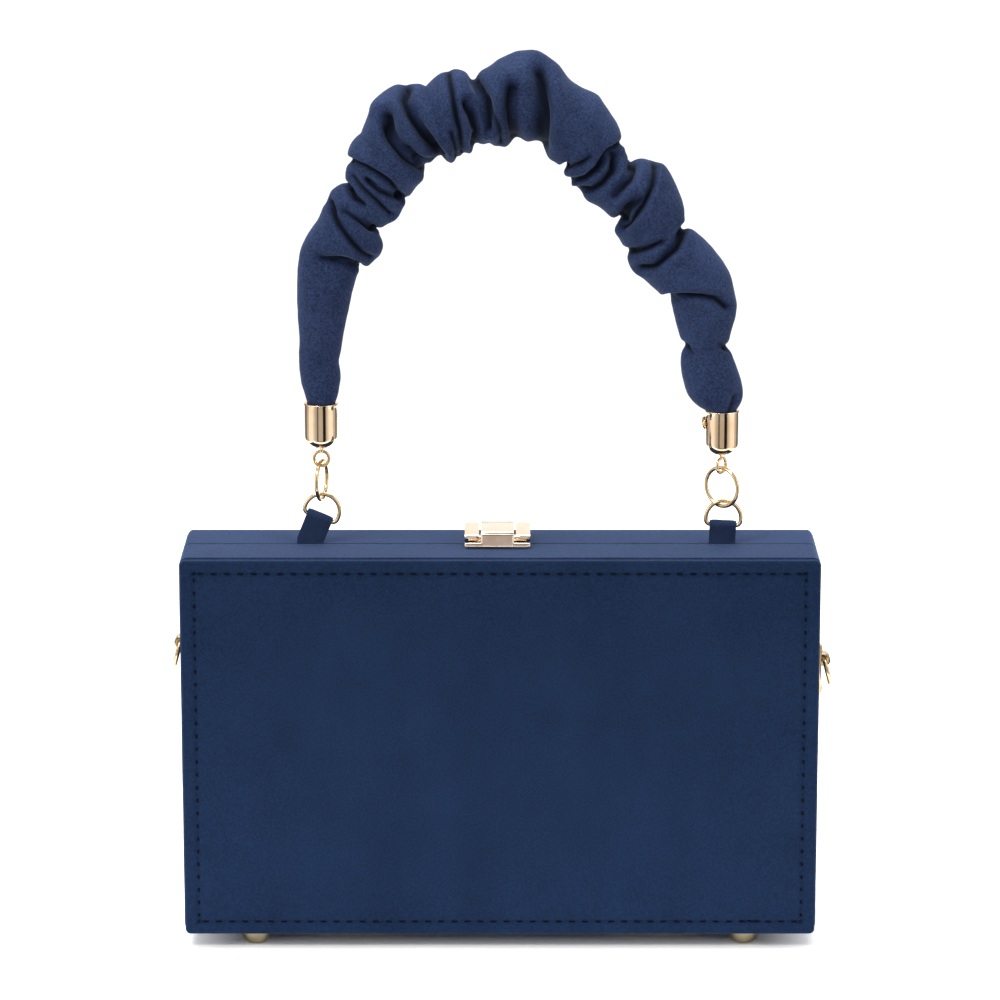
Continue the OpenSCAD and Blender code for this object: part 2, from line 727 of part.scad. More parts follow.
MIDDLE = [for (i = [0 : len(ARCH) - 2], s = [0 : STEPS_PER_SPAN - 1])
              spline_at(ARCH_MM, i, s / STEPS_PER_SPAN), ARCH_MM[len(ARCH) - 1]];

function heading(p, i) =
    let(d = p[min(i + 1, len(p) - 1)] - p[max(i - 1, 0)], n = norm([d[0], d[1]])) [d[0] / n, d[1] / n];

// One ring of points square to the middle line, at radius r
function ring_at(p, i, r, sides) =
    let(h = i == 0 || i == len(p) - 1 ? [0, i == 0 ? 1 : -1] : heading(p, i))
    [for (k = [0 : sides - 1]) let(a = 360 * (k + 0.5) / sides)
        [p[i][0] - h[1] * r * cos(a), chain_y + r * sin(a), p[i][1] + h[0] * r * cos(a)]];

function ring_faces(first, second, sides, out) =
    [for (k = [0 : sides - 1]) let(n = (k + 1) % sides)
        out ? [first + k, first + n, second + n, second + k]
            : [first + k, second + k, second + n, first + n]];

module core_tube() {
    n = len(MIDDLE);
    s = CORE_SIDES;
    points = [for (i = [0 : n - 1]) each ring_at(MIDDLE, i, core_r, s)];
    faces = concat(
        [[for (k = [s - 1 : -1 : 0]) k]],
        [for (i = [0 : n - 2]) each ring_faces(i * s, (i + 1) * s, s, true)],
        [[for (k = [0 : s - 1]) (n - 1) * s + k]]);
    polyhedron(points, faces, convexity = 10);
}

module sleeve_tube() {
    n = len(MIDDLE);
    s = SLEEVE_SIDES;
    bore = core_r + 0.4;
    points = concat(
        [for (i = [0 : n - 1]) each ring_at(MIDDLE, i,
            i == 0 || i == n - 1 ? MIDDLE[i][2] : max(MIDDLE[i][2] * sleeve_fullness, bore + 0.8), s)],
        [for (i = [0 : n - 1]) each ring_at(MIDDLE, i, bore, s)]);
    faces = concat(
        [for (i = [0 : n - 2]) each ring_faces(i * s, (i + 1) * s, s, true)],
        [for (i = [0 : n - 2]) each ring_faces((n + i) * s, (n + i + 1) * s, s, false)],
        ring_faces(n * s, 0, s, true),
        ring_faces((n - 1) * s, (2 * n - 1) * s, s, true));
    polyhedron(points, faces, convexity = 10);
}

module handle_core() color("#b9b0a0") core_tube();

module handle_sleeve() color(SUEDE) sleeve_tube();

// ---------------------------------------------------------------- side clips and rings, drawn on the right

// Plate with pointed ends and a bridge over the ring's bar
module side_clip() {
    difference() {
        union() {
            translate([case_w / 2, clip_y, clip_level + clip_plate_top]) rotate([0, 90, 0])
                linear_extrude(clip_t)
                    polygon([[0, -clip_w * 0.22], [0, clip_w * 0.22], [3, clip_w / 2],
                             [clip_len - 5, clip_w / 2], [clip_len, clip_w * 0.12],
                             [clip_len, -clip_w * 0.12], [clip_len - 5, -clip_w / 2], [3, -clip_w / 2]]);
            rod_y(bar_x, clip_y, clip_bar_z, bridge_r, bridge_w);
            block(case_w / 2 + clip_t / 2, bar_x, clip_y - bridge_w / 2, clip_y + bridge_w / 2,
                  clip_bar_z - bridge_r, clip_bar_z + bridge_r);
        }
        rod_y(bar_x, clip_y, clip_bar_z, side_wire_r + run_gap, bridge_w + 2);
        for (z = [clip_level + clip_rivet_top, clip_level - clip_rivet_low])
            rod_x(case_w / 2, clip_y, z, clip_rivet_r + run_gap, 2 * clip_t + 4);
    }
}

module clip_rivets() {
    for (z = [clip_level + clip_rivet_top, clip_level - clip_rivet_low]) {
        rod_x(case_w / 2 + clip_t - (clip_t + suede_t + board_t) / 2, clip_y, z, clip_rivet_r,
              clip_t + suede_t + board_t);
        rod_x(case_w / 2 + clip_t + clip_rivet_head_t / 2, clip_y, z, clip_rivet_head_r, clip_rivet_head_t);
    }
}

// A D-ring whose bar lies along Y and which hangs tilted outwards
module side_ring() {
    half = side_ring_w / 2 + side_wire_r;
    leg = side_ring_drop - half;
    translate([bar_x, clip_y, clip_bar_z]) rotate([0, -side_ring_tilt, 0]) {
        rotate([90, 0, 0]) cylinder(r = side_wire_r, h = 2 * half, center = true, $fn = 32);
        for (s = [-1, 1]) translate([0, s * half, 0]) {
            sphere(r = side_wire_r, $fn = 32);
            mirror([0, 0, 1]) cylinder(r = side_wire_r, h = leg, $fn = 32);
        }
        translate([0, 0, -leg]) rotate([90, 0, 90]) rotate([0, 0, 180])
            rotate_extrude(angle = 180, $fn = 96) translate([half, 0]) circle(r = side_wire_r, $fn = 32);
    }
}

module left_clip() color(GOLD) left_side() side_clip();

module right_clip() color(GOLD) front_half() side_clip();

module left_clip_rivets() color(GOLD) left_side() clip_rivets();

module right_clip_rivets() color(GOLD) front_half() clip_rivets();

module left_side_ring() color(GOLD) left_side() side_ring();

module right_side_ring() color(GOLD) front_half() side_ring();

// ---------------------------------------------------------------- assembly

back_tray();
back_cover();
back_panel_card();
back_panel();
back_lining();
front_tray();
front_cover();
front_panel_card();
front_panel();
front_lining();
back_hinge_leaves();
front_hinge_leaves();
hinge_pins();
back_hinge_screws();
front_hinge_screws();
back_feet();
front_feet();
clasp_base();
clasp_rivets();
clasp_pin();
clasp_spring();
clasp_lever();
clasp_catch();
left_tab_anchor();
right_tab_anchor();
left_tab();
right_tab();
left_dring();
right_dring();
left_link();
right_link();
left_eye();
right_eye();
left_cap();
right_cap();
left_set_screw();
right_set_screw();
handle_core();
handle_sleeve();
left_clip();
right_clip();
left_clip_rivets();
right_clip_rivets();
left_side_ring();
right_side_ring();
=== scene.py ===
"""Looks of a hard-shell box clutch purse with a ruched scrunchie handle.

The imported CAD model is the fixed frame. Every class below dresses one sub-assembly of the purse:
suede case halves, padded and stitched panels, linings, the press clasp, the handle's tabs, rings and
caps, the ruched sleeve, the side clips, the feet and the bottom hinges. Lengths are in millimetres
until a mesh is made; Blender's own units are metres.
"""

from __future__ import annotations

import logging
import math
from dataclasses import dataclass, field
from enum import Enum

import bmesh
import bpy
import numpy as np
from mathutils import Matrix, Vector, noise


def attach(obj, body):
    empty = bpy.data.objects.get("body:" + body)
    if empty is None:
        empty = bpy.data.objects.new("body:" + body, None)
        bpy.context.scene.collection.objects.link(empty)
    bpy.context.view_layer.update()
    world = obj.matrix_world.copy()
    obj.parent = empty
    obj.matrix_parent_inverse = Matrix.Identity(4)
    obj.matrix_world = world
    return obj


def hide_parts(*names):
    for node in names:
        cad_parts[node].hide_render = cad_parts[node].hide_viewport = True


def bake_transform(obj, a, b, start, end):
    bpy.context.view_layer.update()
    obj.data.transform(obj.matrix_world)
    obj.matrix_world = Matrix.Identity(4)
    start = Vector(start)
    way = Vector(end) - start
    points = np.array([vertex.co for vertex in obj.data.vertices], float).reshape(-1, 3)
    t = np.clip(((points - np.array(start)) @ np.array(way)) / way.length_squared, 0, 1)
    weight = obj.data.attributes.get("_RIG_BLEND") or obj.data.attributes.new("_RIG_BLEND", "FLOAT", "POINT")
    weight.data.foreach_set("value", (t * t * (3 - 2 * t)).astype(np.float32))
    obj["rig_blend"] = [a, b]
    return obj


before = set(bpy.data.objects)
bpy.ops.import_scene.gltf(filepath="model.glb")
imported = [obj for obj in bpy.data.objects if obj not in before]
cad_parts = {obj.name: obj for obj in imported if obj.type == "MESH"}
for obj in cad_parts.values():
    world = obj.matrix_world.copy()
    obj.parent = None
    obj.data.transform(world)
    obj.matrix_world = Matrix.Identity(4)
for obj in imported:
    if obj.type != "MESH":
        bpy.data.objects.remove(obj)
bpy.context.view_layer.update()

MM = 0.001
LOG = logging.getLogger("purse")
Colour = tuple[float, float, float, float]
Loop = np.ndarray


# ---------------------------------------------------------------- choices


class Half(Enum):
    """The two halves of the case and the side of the seam on which each lies."""

    BACK = ("back", 1)
    FRONT = ("front", -1)

    @property
    def label(self) -> str:
        """The word that starts the names of this half's nodes."""
        return self.value[0]

    @property
    def side(self) -> int:
        """1 behind the seam and -1 in front of it."""
        return self.value[1]

    @property
    def body(self) -> str:
        """The CAD body that carries this half."""
        return f"{self.label}_case"


class Fold(Enum):
    """How the sleeve's fabric turns at a rib."""

    SMOOTH = "smooth"
    CREST = "crest"
    VALLEY = "valley"


# ---------------------------------------------------------------- mesh helpers


def place_object(name: str, data: bpy.types.ID) -> bpy.types.Object:
    """Puts a mesh, camera or light into the scene under a name."""
    obj = bpy.data.objects.new(name, data)
    bpy.context.scene.collection.objects.link(obj)
    return obj


def dress(obj: bpy.types.Object, material: bpy.types.Material) -> None:
    """Gives an object one material and no other."""
    obj.data.materials.clear()
    obj.data.materials.append(material)


def new_object(name: str, points: np.ndarray, faces: list, smooth_angle: float = 40.0) -> bpy.types.Object:
    """Makes a mesh object from points in millimetres.

    Args:
        name: the piece's name.
        points: an array of shape (n, 3).
        faces: index lists.
        smooth_angle: edges sharper than this many degrees stay sharp.

    Returns:
        The linked object, with its place in its mesh.
    """
    mesh = bpy.data.meshes.new(name)
    mesh.from_pydata((np.asarray(points, float) * MM).tolist(), [], faces)
    mesh.validate()
    build = bmesh.new()
    build.from_mesh(mesh)
    bmesh.ops.recalc_face_normals(build, faces=build.faces)
    build.to_mesh(mesh)
    build.free()
    mesh.shade_smooth()
    mesh.set_sharp_from_angle(angle=math.radians(smooth_angle))
    return place_object(name, mesh)


def apply_modifiers(obj: bpy.types.Object) -> None:
    """Replaces the object's mesh with what its modifiers make of it."""
    bpy.context.view_layer.update()
    made = bpy.data.meshes.new_from_object(obj.evaluated_get(bpy.context.evaluated_depsgraph_get()))
    obj.modifiers.clear()
    obj.data = made


def grid_faces(rows: int, columns: int, close_rows: bool = False, close_columns: bool = True,
               start: int = 0) -> list:
    """Quads of a grid of points stored row by row.

    Args:
        rows: how many rows there are.
        columns: how many points a row has.
        close_rows: joins the last row to the first.
        close_columns: joins the last column to the first.
        start: index of the first point.

    Returns:
        The faces as index lists.
    """
    faces = []
    for i in range(rows if close_rows else rows - 1):
        a, b = start + i * columns, start + (i + 1) % rows * columns
        for j in range(columns if close_columns else columns - 1):
            n = (j + 1) % columns
            faces.append([a + j, a + n, b + n, b + j])
    return faces


def tube_points(path: np.ndarray, radius: float, sides: int, up: Vector) -> np.ndarray:
    """Rings of points round a closed path.

    Args:
        path: centre points, shape (n, 3).
        radius: radius of the wire.
        sides: points in a ring.
        up: a direction that is never along the path.

    Returns:
        An array of shape (n * sides, 3).
    """
    rings = []
    count = len(path)
    for i, point in enumerate(path):
        ahead = Vector(path[(i + 1) % count] - path[i - 1]).normalized()
        across = ahead.cross(up).normalized()
        over = across.cross(ahead)
        for k in range(sides):
            turn = 2 * math.pi * k / sides
            out = math.cos(turn) * np.array(across) + math.sin(turn) * np.array(over)
            rings.append(point + radius * out)
    return np.array(rings)


def wire(name: str, path: np.ndarray, radius: float, sides: int = 20,
         up: Vector = Vector((0, 1, 0))) -> bpy.types.Object:
    """A wire of round section along a closed path in millimetres."""
    return new_object(name, tube_points(path, radius, sides, up), grid_faces(len(path), sides, close_rows=True))


def lathe(name: str, profile: list, centre: tuple, sides: int = 96) -> bpy.types.Object:
    """Turns a closed profile of (radius, height) points about the vertical through centre."""
    points = []
    for k in range(sides):
        turn = 2 * math.pi * k / sides
        points += [(centre[0] + r * math.cos(turn), centre[1] + r * math.sin(turn), centre[2] + z)
                   for r, z in profile]
    return new_object(name, np.array(points), grid_faces(sides, len(profile), close_rows=True), 50)


def d_outline(half: float, bend: float, leg: float, bar_steps: int, bend_steps: int, arc_steps: int) -> list:
    """The middle line of a bent D-ring: a bar, two round corners, two legs and a half circle.

    Args:
        half: half the ring's width.
        bend: radius of the two corners.
        leg: height of the half circle's centre above the bar.
        bar_steps: points along the bar.
        bend_steps: points round each corner.
        arc_steps: points round the half circle.

    Returns:
        Points (across, up) round the ring from the bar's left end.
    """
    quarter, straight = np.linspace(0, math.pi / 2, bend_steps), np.linspace(bend, leg, 3)
    flat = [(x, 0.0) for x in np.linspace(-half + bend, half - bend, bar_steps)]
    flat += [(half - bend + bend * math.sin(a), bend * (1 - math.cos(a))) for a in quarter[1:]]
    flat += [(half, z) for z in straight[1:]]
    flat += [(half * math.cos(a), leg + half * math.sin(a)) for a in np.linspace(0, math.pi, arc_steps)[1:]]
    flat += [(-half, z) for z in np.linspace(leg, bend, 3)[1:]]
    return flat + [(-half + bend - bend * math.cos(a), bend * (1 - math.sin(a))) for a in quarter[1:-1]]


def rounded_loop(width: float, height: float, radius: float, middle: float,
                 long_steps: int = 60, short_steps: int = 36, corner_steps: int = 8) -> Loop:
    """Points (x, z) round a rounded rectangle, the same number of them for every size.

    Args:
        width: outer width.
        height: outer height.
        radius: corner radius.
        middle: height of the rectangle's middle.
        long_steps: points along the top and the bottom.
        short_steps: points along each side.
        corner_steps: points round each corner.

    Returns:
        An array of shape (n, 2).
    """
    radius = max(radius, 0.2)
    corners = [(1, 1), (-1, 1), (-1, -1), (1, -1)]
    runs = [long_steps, short_steps, long_steps, short_steps]
    loop: list = []
    for index, (sx, sz) in enumerate(corners):
        cx, cz = sx * (width / 2 - radius), sz * (height / 2 - radius)
        first = math.pi / 2 * index
        turns = [first + math.pi / 2 * k / corner_steps for k in range(corner_steps + 1)]
        arc = [(cx + radius * math.cos(turn), cz + radius * math.sin(turn)) for turn in turns]
        loop += arc
        nx, nz = corners[(index + 1) % 4]
        start = arc[-1]
        turn = first + math.pi / 2
        goal = (nx * (width / 2 - radius) + radius * math.cos(turn),
                nz * (height / 2 - radius) + radius * math.sin(turn))
        for k in range(1, runs[index]):
            t = k / runs[index]
            loop.append((start[0] + (goal[0] - start[0]) * t, start[1] + (goal[1] - start[1]) * t))
    points = np.array(loop)
    points[:, 1] += middle
    return points


def soft_noise(x: float, y: float, z: float, size: float) -> float:
    """Smooth noise between about -1 and 1 whose features are size millimetres wide."""
    return noise.noise(Vector((x, y, z)) / size)


def refined_copy(node: str, bevel: float) -> bpy.types.Object:
    """A copy of a CAD node whose sharp edges are rounded as a cast or stamped piece has them.

    Args:
        node: the CAD node's name.
        bevel: width of the rounding in millimetres.

    Returns:
        The new object, named as the node with _finish after it.
    """
    merge_distance, flat_angle, rounded_angle, sharp_angle = 2e-6, 1.0, 32.0, 50
    obj = place_object(f"{node}_finish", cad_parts[node].data.copy())
    build = bmesh.new()
    build.from_mesh(obj.data)
    bmesh.ops.remove_doubles(build, verts=build.verts, dist=merge_distance)
    bmesh.ops.dissolve_limit(build, angle_limit=math.radians(flat_angle), verts=build.verts, edges=build.edges)
    build.to_mesh(obj.data)
    build.free()
    obj.data.materials.clear()
    rounding = obj.modifiers.new("rounding", "BEVEL")
    rounding.width = bevel * MM
    rounding.segments = 3
    rounding.limit_method = "ANGLE"
    rounding.angle_limit = math.radians(rounded_angle)
    rounding.harden_normals = True
    obj.data.shade_smooth()
    apply_modifiers(obj)
    obj.data.set_sharp_from_angle(angle=math.radians(sharp_angle))
    return obj


def settle(obj: bpy.types.Object, body: str, slot: str, material: bpy.types.Material,
           *nodes: str) -> bpy.types.Object:
    """Gives a piece its material and body, and lets it stand for CAD nodes.

    Args:
        obj: the finished piece.
        body: the CAD body that it moves with.
        slot: not used.
        material: its finish.
        nodes: CAD nodes that it replaces.

    Returns:
        The same object.
    """
    dress(obj, material)
    if "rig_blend" not in obj:
        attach(obj, body)
    if nodes:
        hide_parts(*nodes)
    LOG.info("%s on %s: %d faces", obj.name, body, len(obj.data.polygons))
    return obj


def settle_copy(node: str, bevel: float, body: str, slot: str,
                material: bpy.types.Material) -> bpy.types.Object:
    """Lets a refined copy stand for its CAD node.

    Args:
        node: the CAD node's name.
        bevel: width of the rounding in millimetres.
        body: the CAD body that it moves with.
        slot: the record's material slot.
        material: its finish.

    Returns:
        The copy.
    """
    return settle(refined_copy(node, bevel), body, slot, material, node)


# ---------------------------------------------------------------- shader groups


class Shading:
    """A material or node group under construction, with short calls for its nodes."""

    def __init__(self, tree: bpy.types.NodeTree) -> None:
        """Keeps the tree that the nodes go into."""
        self.tree = tree

    def node(self, kind: str, **inputs: object) -> bpy.types.Node:
        """Adds a node.

        Args:
            kind: the node's type without the ShaderNode prefix.
            inputs: socket names, with _ for a space, and a number, a colour or a linked socket for each.

        Returns:
            The node.
        """
        made = self.tree.nodes.new("ShaderNode" + kind)
        for key, value in inputs.items():
            self.feed(made.inputs[key.replace("_", " ")], value)
        return made

    def feed(self, socket: bpy.types.NodeSocket, value: object) -> None:
        """Links or sets one socket."""
        if isinstance(value, bpy.types.NodeSocket):
            self.tree.links.new(value, socket)
        else:
            socket.default_value = value

    def math(self, operation: str, a: object, b: object = 0.0, clamp: bool = False) -> bpy.types.NodeSocket:
        """A Math node's result."""
        made = self.tree.nodes.new("ShaderNodeMath")
        made.operation = operation
        made.use_clamp = clamp
        self.feed(made.inputs[0], a)
        self.feed(made.inputs[1], b)
        return made.outputs[0]

    def mix(self, share: object, a: object, b: object) -> bpy.types.NodeSocket:
        """A colour between a and b."""
        made = self.tree.nodes.new("ShaderNodeMix")
        made.data_type = "RGBA"
        self.feed(made.inputs[0], share)
        self.feed(made.inputs[6], a)
        self.feed(made.inputs[7], b)
        return made.outputs[2]

    def noise(self, where: object, scale: object, detail: float,
              roughness: float = 0.55) -> bpy.types.NodeSocket:
        """A Noise texture's value."""
        made = self.node("TexNoise", Vector=where, Scale=scale, Detail=detail, Roughness=roughness)
        return made.outputs["Fac"]

    def spread(self, value: object, low: float, high: float, to_low: float = 0.0,
               to_high: float = 1.0) -> bpy.types.NodeSocket:
        """Maps value from low..high to to_low..to_high, clamped."""
        made = self.tree.nodes.new("ShaderNodeMapRange")
        self.feed(made.inputs[0], value)
        for index, number in enumerate((low, high, to_low, to_high), start=1):
            made.inputs[index].default_value = number
        return made.outputs[0]

    def band(self, value: object, rise: tuple, fall: tuple) -> bpy.types.NodeSocket:
        """1 between a rise and a fall, each given as the values at which it is 0 and 1."""
        return self.math("MULTIPLY", self.spread(value, *rise), self.spread(value, *fall))

    def group(self, tree: bpy.types.NodeTree, **values: object) -> bpy.types.Node:
        """Places a shared group with this material's own values, with _ in a name for a space."""
        made = self.tree.nodes.new("ShaderNodeGroup")
        made.node_tree = tree
        for label, value in values.items():
            made.inputs[label.replace("_", " ")].default_value = value
        return made


class Groups:
    """Shader node groups that several finishes share, each built once."""

    OUTPUTS = (("Color", "Color"), ("Roughness", "Float"), ("Height", "Float"))
    _made: dict[str, bpy.types.NodeTree] = {}

    @classmethod
    def _group(cls, name: str,
               inputs: dict) -> tuple[bpy.types.NodeTree, Shading, bpy.types.Node, bpy.types.Node]:
        """Starts a group with named inputs and the outputs that every group has.

        Args:
            name: the group's name.
            inputs: kind of socket by name.

        Returns:
            The tree, its builder, its input node and its output node.
        """
        tree = bpy.data.node_groups.new(name, "ShaderNodeTree")
        for label, kind in inputs.items():
            tree.interface.new_socket(label, in_out="INPUT", socket_type=f"NodeSocket{kind}")
        for label, kind in cls.OUTPUTS:
            tree.interface.new_socket(label, in_out="OUTPUT", socket_type=f"NodeSocket{kind}")
        entry, leave = tree.nodes.new("NodeGroupInput"), tree.nodes.new("NodeGroupOutput")
        cls._made[name] = tree
        return tree, Shading(tree), entry, leave

    @classmethod
    def nap(cls) -> bpy.types.NodeTree:
        """Suede nap: brushed patches, fibre grain and stray light fibres."""
        if "suede nap" in cls._made:
            return cls._made["suede nap"]
        tree, shade, entry, leave = cls._group(
            "suede nap", {"Deep": "Color", "Light": "Color", "Grain Scale": "Float", "Patch Scale": "Float",
                          "Grain Share": "Float"})
        where = shade.node("TexCoord").outputs["Object"]
        grain = shade.noise(where, entry.outputs["Grain Scale"], 3.0, 0.7)
        patch = shade.noise(where, entry.outputs["Patch Scale"], 3.0, 0.6)
        stretched = shade.node("Mapping", Vector=where, Scale=(1.0, 1.0, 0.3)).outputs[0]
        strokes = shade.noise(stretched, entry.outputs["Patch Scale"], 6.0, 0.75)
        fibres = shade.spread(shade.noise(where, 5200.0, 1.0), 0.66, 0.78)
        weight = shade.math("ADD", shade.spread(patch, 0.3, 0.7, -0.13, 0.13), 0.4)
        weight = shade.math("ADD", weight, shade.spread(strokes, 0.3, 0.7, -0.13, 0.13))
        grain_part = shade.spread(grain, 0.3, 0.7, -1.0, 1.0)
        grain_part = shade.math("MULTIPLY", grain_part, entry.outputs["Grain Share"])
        weight = shade.math("ADD", weight, grain_part)
        weight = shade.math("ADD", weight, shade.math("MULTIPLY", fibres, 0.22), clamp=True)
        shade.feed(leave.inputs["Color"], shade.mix(weight, entry.outputs["Deep"], entry.outputs["Light"]))
        shade.feed(leave.inputs["Roughness"], shade.spread(grain, 0.2, 0.8, 0.82, 0.97))
        shade.feed(leave.inputs["Height"], shade.math("ADD", grain, shade.math("MULTIPLY", strokes, 0.4)))
        return tree

    @classmethod
    def plating(cls) -> bpy.types.NodeTree:
        """Plated metal: faint colour drift, handling marks and an optional brushed grain along Z."""
        if "plating" in cls._made:
            return cls._made["plating"]
        tree, shade, entry, leave = cls._group(
            "plating", {"Tone": "Color", "Warm": "Color", "Polish": "Float", "Brush": "Float"})
        where = shade.node("TexCoord").outputs["Object"]
        drift = shade.noise(where, 140.0, 2.0)
        marks = shade.noise(where, 900.0, 4.0, 0.65)
        lines = shade.node("Mapping", Vector=where, Scale=(9000.0, 9000.0, 260.0)).outputs[0]
        brushed = shade.noise(lines, 1.0, 2.0, 0.6)
        brush_part = shade.math("MULTIPLY", shade.spread(brushed, 0.25, 0.75, 0.0, 1.0), entry.outputs["Brush"])
        warm = shade.math("ADD", shade.spread(drift, 0.35, 0.7), shade.math("MULTIPLY", brush_part, 0.5),
                          clamp=True)
        shade.feed(leave.inputs["Color"], shade.mix(warm, entry.outputs["Tone"], entry.outputs["Warm"]))
        rough = shade.math("ADD", entry.outputs["Polish"], shade.spread(marks, 0.45, 0.8, 0.0, 0.09))
        rough = shade.math("ADD", rough, shade.math("MULTIPLY", brush_part, 0.22))
        shade.feed(leave.inputs["Roughness"], rough)
        shade.feed(leave.inputs["Height"], shade.math("ADD", shade.math("MULTIPLY", marks, 0.12), brush_part))
        return tree


# ---------------------------------------------------------------- finishes


def start_material(name: str) -> tuple[bpy.types.Material, Shading, bpy.types.Node]:
    """A material with its Principled shader, ready to be fed."""
    material = bpy.data.materials.new(name)
    material.use_nodes = True
    return material, Shading(material.node_tree), material.node_tree.nodes["Principled BSDF"]


def finish_shader(shade: Shading, shader: bpy.types.Node, colour: object, roughness: object,
                  bump: tuple[float, float, object], **constants: object) -> None:
    """Feeds a Principled shader and sets what is the same all over the surface.

    Args:
        shade: the material's builder.
        shader: the Principled shader.
        colour: the base colour's socket.
        roughness: the roughness's socket.
        bump: strength, distance in metres and the height's socket.
        constants: the shader's other sockets, with _ for a space, and their values.
    """
    strength, distance, height = bump
    normal = shade.node("Bump", Strength=strength, Distance=distance, Height=height).outputs[0]
    for label, socket in (("Base Color", colour), ("Roughness", roughness), ("Normal", normal)):
        shade.feed(shader.inputs[label], socket)
    for label, value in constants.items():
        shader.inputs[label.replace("_", " ")].default_value = value


@dataclass(frozen=True)
class Suede:
    """Brushed microfibre suede; with relief, painted shade darkens its fold hollows and painted highlight lightens
    its ridges, following a mask that the mesh carries.
    """

    name: str
    deep: Colour
    light: Colour
    sheen: float = 0.5
    sheen_tint: Colour = (0.42, 0.55, 0.85, 1.0)
    grain_scale: float = 1500.0
    patch_scale: float = 38.0
    grain_share: float = 0.2
    bump: float = 0.12
    # relief turns on painted shade in the folds and painted highlight on their ridges; the field after it is the
    # painted shade's near-black colour.
    relief: bool = False
    painted_fold_shade: Colour = (0.0012, 0.0028, 0.009, 1)

    def material(self) -> bpy.types.Material:
        """Builds the finish."""
        material, shade, shader = start_material(self.name)
        group = shade.group(Groups.nap(), Deep=self.deep, Light=self.light, Grain_Scale=self.grain_scale,
                            Patch_Scale=self.patch_scale, Grain_Share=self.grain_share)
        colour = group.outputs["Color"]
        # Painted highlight on the fold ridges, and painted shade in the fold hollows and along the creases, from
        # the mesh's relief mask.
        if self.relief:
            folds = shade.tree.nodes.new("ShaderNodeAttribute")
            folds.attribute_name = "relief"
            painted_fold_shade = shade.spread(folds.outputs["Fac"], 0.52, 0.88)
            ridge = shade.spread(folds.outputs["Fac"], 0.48, 0.1, 0.0, 0.35)
            colour = shade.mix(ridge, colour, self.light)
            colour = shade.mix(shade.math("MULTIPLY", painted_fold_shade, 0.93), colour, self.painted_fold_shade)
        finish_shader(shade, shader, colour, group.outputs["Roughness"],
                      (self.bump, 0.0004, group.outputs["Height"]), Specular_IOR_Level=0.12,
                      Sheen_Weight=self.sheen, Sheen_Roughness=0.38, Sheen_Tint=self.sheen_tint)
        return material


@dataclass(frozen=True)
class Gold:
    """Light gold plating, polished or brushed."""

    name: str
    tone: Colour
    warm: Colour
    polish: float = 0.09
    brush: float = 0.0
    bump: float = 0.03

    def material(self) -> bpy.types.Material:
        """Builds the finish."""
        material, shade, shader = start_material(self.name)
        group = shade.group(Groups.plating(), Tone=self.tone, Warm=self.warm, Polish=self.polish,
                            Brush=self.brush)
        finish_shader(shade, shader, group.outputs["Color"], group.outputs["Roughness"],
                      (self.bump, 0.00008, group.outputs["Height"]), Metallic=1.0)
        return material


@dataclass(frozen=True)
class Fibre:
    """Pressed board, woven lining, thread or cord: a matt fibrous surface."""

    name: str
    deep: Colour
    light: Colour
    scale: float
    squeeze: tuple[float, float, float] = (1.0, 1.0, 1.0)
    bump: float = 0.3
    sheen: float = 0.05

    def material(self) -> bpy.types.Material:
        """Builds the finish."""
        material, shade, shader = start_material(self.name)
        where = shade.node("TexCoord").outputs["Object"]
        flat = shade.node("Mapping", Vector=where, Scale=self.squeeze).outputs[0]
        fine = shade.noise(flat, self.scale, 5.0, 0.7)
        broad = shade.noise(where, self.scale / 14, 2.0)
        weight = shade.math("ADD", shade.spread(fine, 0.3, 0.7, 0.0, 0.7),
                            shade.spread(broad, 0.3, 0.7, 0.0, 0.3))
        finish_shader(shade, shader, shade.mix(weight, self.deep, self.light),
                      shade.spread(fine, 0.3, 0.7, 0.75, 0.95), (self.bump, 0.0002, fine),
                      Specular_IOR_Level=0.06, Sheen_Weight=self.sheen)
        return material


